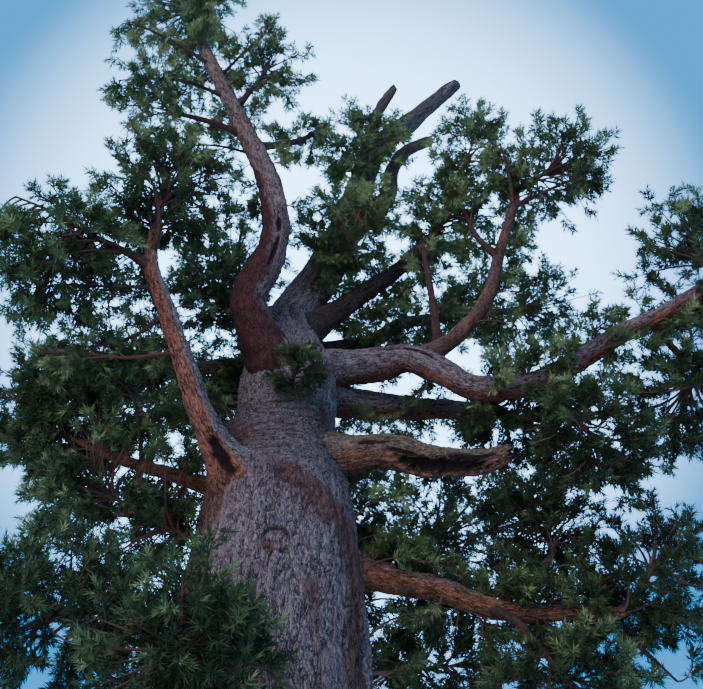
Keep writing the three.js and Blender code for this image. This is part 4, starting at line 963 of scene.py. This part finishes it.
# Sprouts. Leafy twigs that spring from the boughs and the trunk themselves, one behind the other, mostly
# on the far side and above, and fill the crown between its masses.
SPROUTS = [  # bough, the mass it feeds, from and to what share of it, distance apart, length, which way
    ("right_high", "crown_right_outer", 0.22, 1.0, 0.30, 1.35, (0.1, 0.7, 0.5)),
    ("right_high", "crown_right_far", 0.45, 1.0, 0.40, 1.2, (0.1, 0.3, -0.7)),
    ("right_riser", "crown_right_riser", 0.20, 1.0, 0.30, 1.25, (0.4, 0.7, 0.0)),
    ("right_riser_fork", "crown_right_side", 0.25, 1.0, 0.30, 1.0, (0.0, 0.6, 0.4)),
    ("right_riser_side", "crown_right_side", 0.2, 1.0, 0.30, 1.0, (-0.2, 0.5, 0.4)),
    ("right_mid", "crown_right_mid", 0.30, 1.0, 0.30, 1.4, (0.0, 0.8, 0.1)),
    ("right_mid", "crown_right_mid", 0.35, 1.0, 0.45, 1.2, (0.1, 0.4, -0.8)),
    ("right_broken", "crown_right_mid", 0.40, 0.95, 0.45, 1.1, (0.1, 0.8, -0.1)),
    ("right_low", "crown_right_low", 0.30, 1.0, 0.32, 1.2, (0.1, 0.8, 0.2)),
    ("right_low", "crown_right_low", 0.45, 1.0, 0.45, 1.0, (0.1, 0.2, -0.8)),
    ("right_low", "crown_right_low", 0.22, 0.9, 0.24, 1.5, (0.1, 0.7, 0.9)),
    ("top_right", "crown_top_right", 0.22, 1.0, 0.25, 1.3, (0.2, 0.6, -0.4)),
    ("top_right", "crown_top_right", 0.30, 1.0, 0.35, 1.2, (0.1, 0.2, 0.8)),
    ("top_right_back", "crown_top_back", 0.12, 1.0, 0.22, 1.5, (0.2, 0.4, -0.5)),
    ("top_right_back", "crown_top_back", 0.20, 1.0, 0.35, 1.3, (0.0, 0.4, 0.7)),
    ("left_high", "crown_left_high", 0.38, 1.0, 0.32, 1.2, (-0.5, 0.7, 0.0)),
    ("left_high_fork", "crown_left_edge", 0.1, 1.0, 0.25, 1.1, (-0.2, 0.5, -0.4)),
    ("left_low", "crown_left_low", 0.22, 1.0, 0.28, 1.3, (0.0, 0.7, 0.3)),
    ("left_low", "crown_left_low", 0.55, 1.0, 0.20, 2.0, (-0.3, 0.2, 0.9)),
    ("left_high_fork", "crown_left_edge", 0.3, 1.0, 0.16, 2.5, (-0.4, 0.7, -0.7)),
    ("left_edge_reach", "crown_left_edge", 0.0, 1.0, 0.20, 1.9, (0.1, 0.8, -0.8)),
    ("left_high_side", "crown_left_edge", 0.3, 1.0, 0.20, 1.3, (0.0, 0.8, -0.7)),
    ("left_high_lower_side", "crown_left_edge", 0.35, 1.0, 0.16, 1.3, (-0.1, 0.7, -0.2)),
    ("left_high_lowest_side", "crown_left_low", 0.35, 1.0, 0.18, 1.3, (0.0, 0.4, 0.6)),
    ("leader_left", "crown_left_top", 0.74, 1.0, 0.30, 0.9, (0.2, -0.7, 0.2)),
    ("left_low", "crown_left_low", 0.70, 1.0, 0.16, 2.5, (-0.3, -0.4, 0.8)),
    ("left_back", "crown_left_back", 0.2, 1.0, 0.3, 1.4, (0.0, 0.3, -0.5)),
    ("leader_left", "crown_left_top", 0.30, 1.0, 0.50, 1.3, (-0.4, 0.7, 0.0)),
    ("leader_left", "crown_left_inner", 0.45, 1.0, 0.70, 1.2, (0.8, 0.3, 0.0)),
    ("leader_left_fork", "crown_left_inner", 0.15, 1.0, 0.25, 1.0, (0.1, 0.3, 0.6)),
    ("leader_left_outer", "crown_left_outer", 0.1, 1.0, 0.25, 1.0, (-0.1, 0.3, 0.4)),
    ("left_back", "crown_left_back", 0.05, 0.7, 0.14, 2.0, (0.3, 0.1, -1.0)),
    ("back_1", "crown_back_1", 0.25, 1.0, 0.35, 1.4, (0.0, -0.1, -0.3)),
    ("back_4", "crown_back_4", 0.25, 1.0, 0.35, 1.4, (0.0, 0.0, -0.3)),
    ("trunk", "crown_left_under", 0.31, 0.43, 0.22, 1.8, (-1.0, 0.5, 0.1)),
    ("trunk", "crown_left_back", 0.36, 0.45, 0.20, 1.9, (-0.8, 0.9, 0.1)),
    ("trunk", "crown_right_lowest", 0.20, 0.30, 0.20, 1.9, (1.0, 0.6, 0.0)),
    ("trunk", "crown_right_rise", 0.25, 0.34, 0.16, 2.0, (1.0, 0.8, 0.1)),
    ("trunk", "crown_back_1", 0.33, 0.42, 0.25, 1.9, (1.0, 0.9, 0.1)),
    ("trunk", "crown_heart", 0.50, 0.60, 0.30, 1.4, (0.9, 0.3, 0.3)),
    ("right_high", "crown_right_hanging", 0.46, 0.64, 0.13, 1.0, (0.0, -0.7, 0.4)),
    ("right_high", "crown_right_far", 0.66, 0.72, 0.25, 0.9, (0.1, -0.6, 0.5)),
    ("right_low", "crown_right_low", 0.66, 1.0, 0.22, 0.9, (0.1, -0.7, 0.4))]
SPROUTS += [(bough, mass, 0.35, 1.0, 0.28, 0.8, (0.0, 0.5, 0.0)) for bough, mass in runs_out_into.items()
            if not bough.startswith("left_high_") and bough != "left_edge_reach"]
SPROUT_ROOT, SPROUT_THICKENS, SPROUT_TIP = 0.020, 0.012, 0.012
SPROUT_CLEARANCE, SPROUT_STRAY = 0.10, 0.55
SPROUT_LENGTHS = (0.6, 1.15)  # against the length of its row

for order, (bough, owner, first, last, apart, length, side) in enumerate(SPROUTS):
    random = np.random.RandomState(900 + order)
    path = trunk_path if bough == "trunk" else bough_paths[bough]
    for share in np.arange(first, last, apart / path.length):
        share = min(1.0, share + random.uniform(0, 0.5) * apart / path.length)
        start, along = path.at(share), path.along(share)
        outward = unit(np.array(side) + random.normal(size=3) * SPROUT_STRAY)
        if bough == "trunk":
            start = start + unit(outward * (1, 1, 0)) * trunk_radius(start[2])
        outward = unit(outward - 0.5 * along * outward.dot(along) + 0.25 * along)
        long = length * random.uniform(*SPROUT_LENGTHS)
        end = start + outward * long
        lead = start + unit(outward + along) * long * 0.5
        line = bent_line(start, lead, end, TWIG_POINTS)
        if not clear_of_limbs(line[5:], SPROUT_CLEARANCE).all():
            continue
        add_twig(owner, line, np.linspace(SPROUT_ROOT + SPROUT_THICKENS * long, SPROUT_TIP, TWIG_POINTS))
        grow_shoots(line, outward, owner, True, SHOOTS_PER_SPROUT, random)


# Twig wood. The thin red-brown wood of every stem, twig, sprout and shoot, drawn as three-sided tubes
# along their middle lines, and joined into one piece to the left of the trunk and one to its right.
def twig_tree():
    """Turns middle lines with a radius at each point into thin tubes"""
    tree, inputs, given = tree_with_inputs("twigs_on_lines", {"Sides": "NodeSocketInt",
                                                              "Bark": "NodeSocketMaterial"})
    lines = link_up(tree, "GeometryNodeMeshToCurve", {"Mesh": given["Geometry"]})
    ring = link_up(tree, "GeometryNodeCurvePrimitiveCircle", {"Resolution": given["Sides"], "Radius": 1.0})
    thick = link_up(tree, "GeometryNodeInputNamedAttribute", {"Name": "thick"}, data_type="FLOAT")
    tubes = link_up(tree, "GeometryNodeCurveToMesh", {"Curve": lines.outputs[0],
                                                      "Profile Curve": ring.outputs[0],
                                                      "Scale": thick.outputs[0], "Fill Caps": True})
    end_in_bark(tree, tubes.outputs[0], given["Bark"])
    return tree, inputs


twig_bark, _ = new_material("twig_bark", 0.85, (0.130, 0.058, 0.042))
TWIGS_ON_LINES, TWIG_INPUTS = twig_tree()


def drop_attributes(piece, *names):
    """Takes off a piece what only its tree had to read"""
    for name in names:
        if name in piece.data.attributes:
            piece.data.attributes.remove(piece.data.attributes[name])


for part, on_the_left in (("crown_twigs_left", True), ("crown_twigs_right", False)):
    names = [name for name, _, _, middle, _ in MASSES if (middle[0] < 0) == on_the_left]
    lines = [line for name in names for line, _ in twig_lines[name]]
    edges, first = [], 0
    for line in lines:
        edges += [(first + i, first + i + 1) for i in range(len(line) - 1)]
        first += len(line)
    mesh = bpy.data.meshes.new(part)
    mesh.from_pydata(np.vstack(lines), edges, [])
    thick = np.concatenate([sizes for name in names for _, sizes in twig_lines[name]])
    keep_on_points(mesh, thick=("FLOAT", thick))
    piece = in_scene(part, mesh)
    applied(piece, TWIGS_ON_LINES, TWIG_INPUTS, sides=3, bark=twig_bark)
    drop_attributes(piece, "thick")
    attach(piece, "root")
    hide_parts(*names)

# Sprays of needles. A spray is a slim shoot with bristly fingers all round it, each a pointed leaf-thin
# blade; several stand round every shoot. Their tones are painted light and shade: inner and lower ones
# are darker, outer ones lighter.
SPRAY_FINGERS = 11
FINGER_LENGTH, FINGER_WIDTH = 0.185, 0.037
FINGER_SPREAD = (52, 22)  # degrees off the shoot at its foot and its tip
SPRAY_FORMS = 5
NEEDLE_TONES = [  # from deep shade to the backlit tips
    ("needles_deep_shade", (0.012, 0.020, 0.007)), ("needles_dark", (0.024, 0.039, 0.013)),
    ("needles_green", (0.044, 0.070, 0.022)), ("needles_light", (0.095, 0.137, 0.043)),
    ("needles_backlit", (0.24, 0.28, 0.11))]
CROWN_PARTS = {
    "sprays_left_high": ["crown_left_top", "crown_left_outer", "crown_left_inner", "crown_heart_left"],
    "sprays_left_mid": ["crown_left_high", "crown_left_edge", "crown_left_back"],
    "sprays_left_low": ["crown_left_low", "crown_left_under"],
    "sprays_front": ["crown_front", "crown_front_left", "trunk_tuft"],
    "sprays_right_low": ["crown_right_low", "crown_right_rise", "crown_right_droop", "crown_right_lowest",
                         "crown_right_mid"],
    "sprays_right_mid": ["crown_right_hanging", "crown_right_far", "crown_right_outer"],
    "sprays_right_high": ["crown_right_riser", "crown_right_side", "crown_top_right", "crown_top_back"],
    "sprays_top": ["crown_spike", "crown_heart", "crown_back_4"],
    "sprays_back": ["crown_back_1", "crown_back_2", "crown_back_3"]}
BARE_BELOW = [  # boughs that foliage leaves open to someone below: down to which share, how far aside
    ("left_low", 1, 0.2), ("left_high", 0.8, 0.15), ("leader_left", 0.62, 0.1),
    ("right_high", 0.42, 0.12), ("right_broken", 1, 0.1), ("right_low", 0.6, 0.1),
    ("right_riser", 0.8, 0.05), ("left_low_riser", 0.8, 0.06), ("left_high_fork", 1, 0.05),
    ("left_edge_reach", 0.45, 0.05), ("leader_high_left", 0.75, 0.05), ("leader_high_right", 0.7, 0.05),
    ("leader_mid_left", 0.75, 0.05), ("leader_low_left", 0.7, 0.05), ("left_high_side", 0.75, 0.06),
    ("left_high_lower_side", 0.75, 0.06), ("left_high_lowest_side", 0.7, 0.06),
    ("right_riser_rise", 0.7, 0.05), ("right_riser_reach", 0.6, 0.05), ("left_low_drop", 0.7, 0.05)]
MIDDLE_TONE, OUTER_LIGHTER, TOP_LIGHTER = 1.95, 1.1, 0.55  # painted light and shade: the middle tone, and how much lighter the outside and the top of a mass are; counted in tones, as are the next two
TUFTS_DIFFER, SPRAYS_DIFFER = 0.62, 0.34
TUFT_SHADE = 0.6  # how much darker the tuft on the trunk is, in the boughs' shade
BARE_SAMPLES, BARE_DEPTH = 26, 5.0  # how closely a bare stretch is read, and how far in front it is kept
HOLLOW_CORE, CORE_TONE = 0.5, 0.1  # how far out a mass is thinned, and which sprays are left there
FOOT, WAY = slice(0, 3), slice(3, 6)  # what each spray is kept as, in this order
SIZE, ROLL, TUFT_TONE, TONE_AND_TIP_LIGHT, FREE = range(6, 11)

spray_forms = bpy.data.collections.new("spray_forms")
for form in range(SPRAY_FORMS):
    random = np.random.RandomState(500 + form)
    points, faces = [], []
    for f in range(SPRAY_FINGERS):
        share = f / (SPRAY_FINGERS - 1)
        foot = np.array([0, 0, share * (SPRAY_LENGTH - FINGER_LENGTH)])
        spread = math.radians(np.interp(share, [0, 1], FINGER_SPREAD)) * random.uniform(0.75, 1.2)
        if f == SPRAY_FINGERS - 1:
            spread = 0.08
        turned = f * GOLDEN_ANGLE + random.uniform(-0.3, 0.3)
        way = np.array([math.sin(spread) * math.cos(turned), math.sin(spread) * math.sin(turned),
                        math.cos(spread)])
        crossways = unit(np.cross(way, random.normal(size=3))) * FINGER_WIDTH / 2
        long = FINGER_LENGTH * random.uniform(0.8, 1.2)
        first = len(points)
        points += [foot + way * long * 0.12 + crossways, foot + way * long, foot - crossways]
        faces.append((first, first + 1, first + 2))
    mesh = bpy.data.meshes.new(f"spray_form_{form}")
    mesh.from_pydata([tuple(p) for p in points], [], faces)
    spray_forms.objects.link(bpy.data.objects.new(f"spray_form_{form}", mesh))


def spray_tree():
    """Sets a spray on each point, turned and sized as the point says, and gives it its tone"""
    tone_inputs = {f"Tone {i}": "NodeSocketMaterial" for i in range(len(NEEDLE_TONES))}
    tree, inputs, given = tree_with_inputs("sprays_on_shoots", {"Forms": "NodeSocketCollection",
                                                                **tone_inputs})

    def kept(name, kind):
        return link_up(tree, "GeometryNodeInputNamedAttribute", {"Name": name}, data_type=kind).outputs[0]

    forms = link_up(tree, "GeometryNodeCollectionInfo", {"Collection": given["Forms"],
                                                         "Separate Children": True})
    aimed = link_up(tree, "FunctionNodeAlignRotationToVector", {"Vector": kept("way", "FLOAT_VECTOR")},
                    axis="Z")
    spin = link_up(tree, "FunctionNodeAxisAngleToRotation",
                   {"Axis": (0, 0, 1), "Angle": kept("roll", "FLOAT")})
    turned = link_up(tree, "FunctionNodeRotateRotation",
                     {"Rotation": aimed.outputs[0], "Rotate By": spin.outputs[0]}, rotation_space="LOCAL")
    placed = link_up(tree, "GeometryNodeInstanceOnPoints",
                     {"Points": given["Geometry"], "Instance": forms.outputs[0], "Pick Instance": True,
                      "Instance Index": kept("form", "INT"), "Rotation": turned.outputs[0],
                      "Scale": kept("size", "FLOAT")})
    solid = link_up(tree, "GeometryNodeRealizeInstances", {"Geometry": placed.outputs[0]}).outputs[0]
    for i in range(len(NEEDLE_TONES)):
        same = link_up(tree, "FunctionNodeCompare", {2: kept("tone", "INT"), 3: i}, data_type="INT",
                       operation="EQUAL")
        solid = link_up(tree, "GeometryNodeSetMaterial", {"Geometry": solid, "Selection": same.outputs[0],
                                                          "Material": given[f"Tone {i}"]}).outputs[0]
    link_up(tree, "NodeGroupOutput", {0: solid})
    return tree, inputs


SPRAYS_ON_SHOOTS, SPRAY_INPUTS = spray_tree()
tone_materials = [new_material(name, 0.62, colour)[0] for name, colour in NEEDLE_TONES]


def hides_bare_boughs(points):
    """Which points stand close in front of a bare stretch of bough, as seen from the viewpoint"""
    hides = np.zeros(len(points), bool)
    for name, last, margin in BARE_BELOW:
        path, (root, tip) = bough_paths[name], bough_radii[name]
        for share in np.linspace(0.05, last, BARE_SAMPLES):
            spot = path.at(share)
            towards = unit(np.array(EYE) - spot)
            nearer = (points - spot) @ towards
            aside = np.linalg.norm(points - spot - nearer[:, None] * towards, axis=1)
            near = (nearer > 0) & (nearer < BARE_DEPTH)
            hides |= near & (aside < root + (tip - root) * share + margin)
    return hides


def tone_numbers(tips, local, tuft_tones, own_tones):
    """The tone of each spray, by the light it stands in: lighter at the outside and top of its mass, high
    up, on the left and where the sun is behind the crown; darker at the lower right"""
    x, y, z = tips.T
    depth = np.minimum(1, np.linalg.norm(local, axis=1))
    top = np.clip(local, -1, 1)[:, 2]
    light = (MIDDLE_TONE + OUTER_LIGHTER * (depth - 0.72) / 0.28 * 0.6 + TOP_LIGHTER * top
             + TUFTS_DIFFER * tuft_tones + SPRAYS_DIFFER * own_tones)
    light += 0.9 * np.exp(-((x - 3) / 5) ** 2 - ((z - 26) / 8) ** 2)
    light += 0.8 * smooth_step(y, -2.0, 2.5) * np.exp(-((x - 6) / 4) ** 2 - ((z - 22) / 5) ** 2)
    light += (1.0 * smooth_step(z, 17, 29) + 0.65 * smooth_step(-x, 2, 6)
              - 0.3 * smooth_step(x, 3, 7) * smooth_step(-z, -19, -14))
    return light


for part, names in CROWN_PARTS.items():
    rows, tones = [], []
    for name in names:
        which = mass_names.index(name)
        grown = np.array(sprays[name])
        tips = grown[:, FOOT] + grown[:, WAY] * SPRAY_LENGTH * grown[:, [SIZE]] * 0.9
        local = (tips - mass_middles[which]) / mass_halves[which]
        fits = in_own_space(which, tips) | (grown[:, FREE] > 0)
        fits &= clear_of_limbs(grown[:, FOOT] * 0.5 + tips * 0.5, LIMB_CLEARANCE)
        fits &= (np.linalg.norm(local, axis=1) > HOLLOW_CORE) | (grown[:, TONE_AND_TIP_LIGHT] > CORE_TONE)
        if name != "trunk_tuft":
            fits &= ~hides_bare_boughs(tips)
        grown, tips, local = grown[fits], tips[fits], local[fits]
        light = tone_numbers(tips, local, grown[:, TUFT_TONE], grown[:, TONE_AND_TIP_LIGHT])
        if name == "trunk_tuft":
            light -= TUFT_SHADE
        rows.append(grown)
        tones.append(np.clip(np.round(light), 0, len(NEEDLE_TONES) - 1))
    grown, tones = np.vstack(rows), np.concatenate(tones)
    mesh = bpy.data.meshes.new(part)
    mesh.from_pydata(grown[:, FOOT], [], [])
    forms = np.arange(len(grown)) % SPRAY_FORMS
    keep_on_points(mesh, way=("FLOAT_VECTOR", grown[:, WAY].ravel()), size=("FLOAT", grown[:, SIZE]),
                   roll=("FLOAT", grown[:, ROLL]), tone=("INT", tones.astype(np.int32)),
                   form=("INT", forms.astype(np.int32)))
    piece = in_scene(part, mesh)
    applied(piece, SPRAYS_ON_SHOOTS, SPRAY_INPUTS, forms=spray_forms,
            **{f"tone_{i}": material for i, material in enumerate(tone_materials)})
    drop_attributes(piece, "way", "size", "roll", "tone", "form")
    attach(piece, "root")
    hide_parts(*names)

for form in list(spray_forms.objects):
    bpy.data.objects.remove(form)
bpy.data.collections.remove(spray_forms)
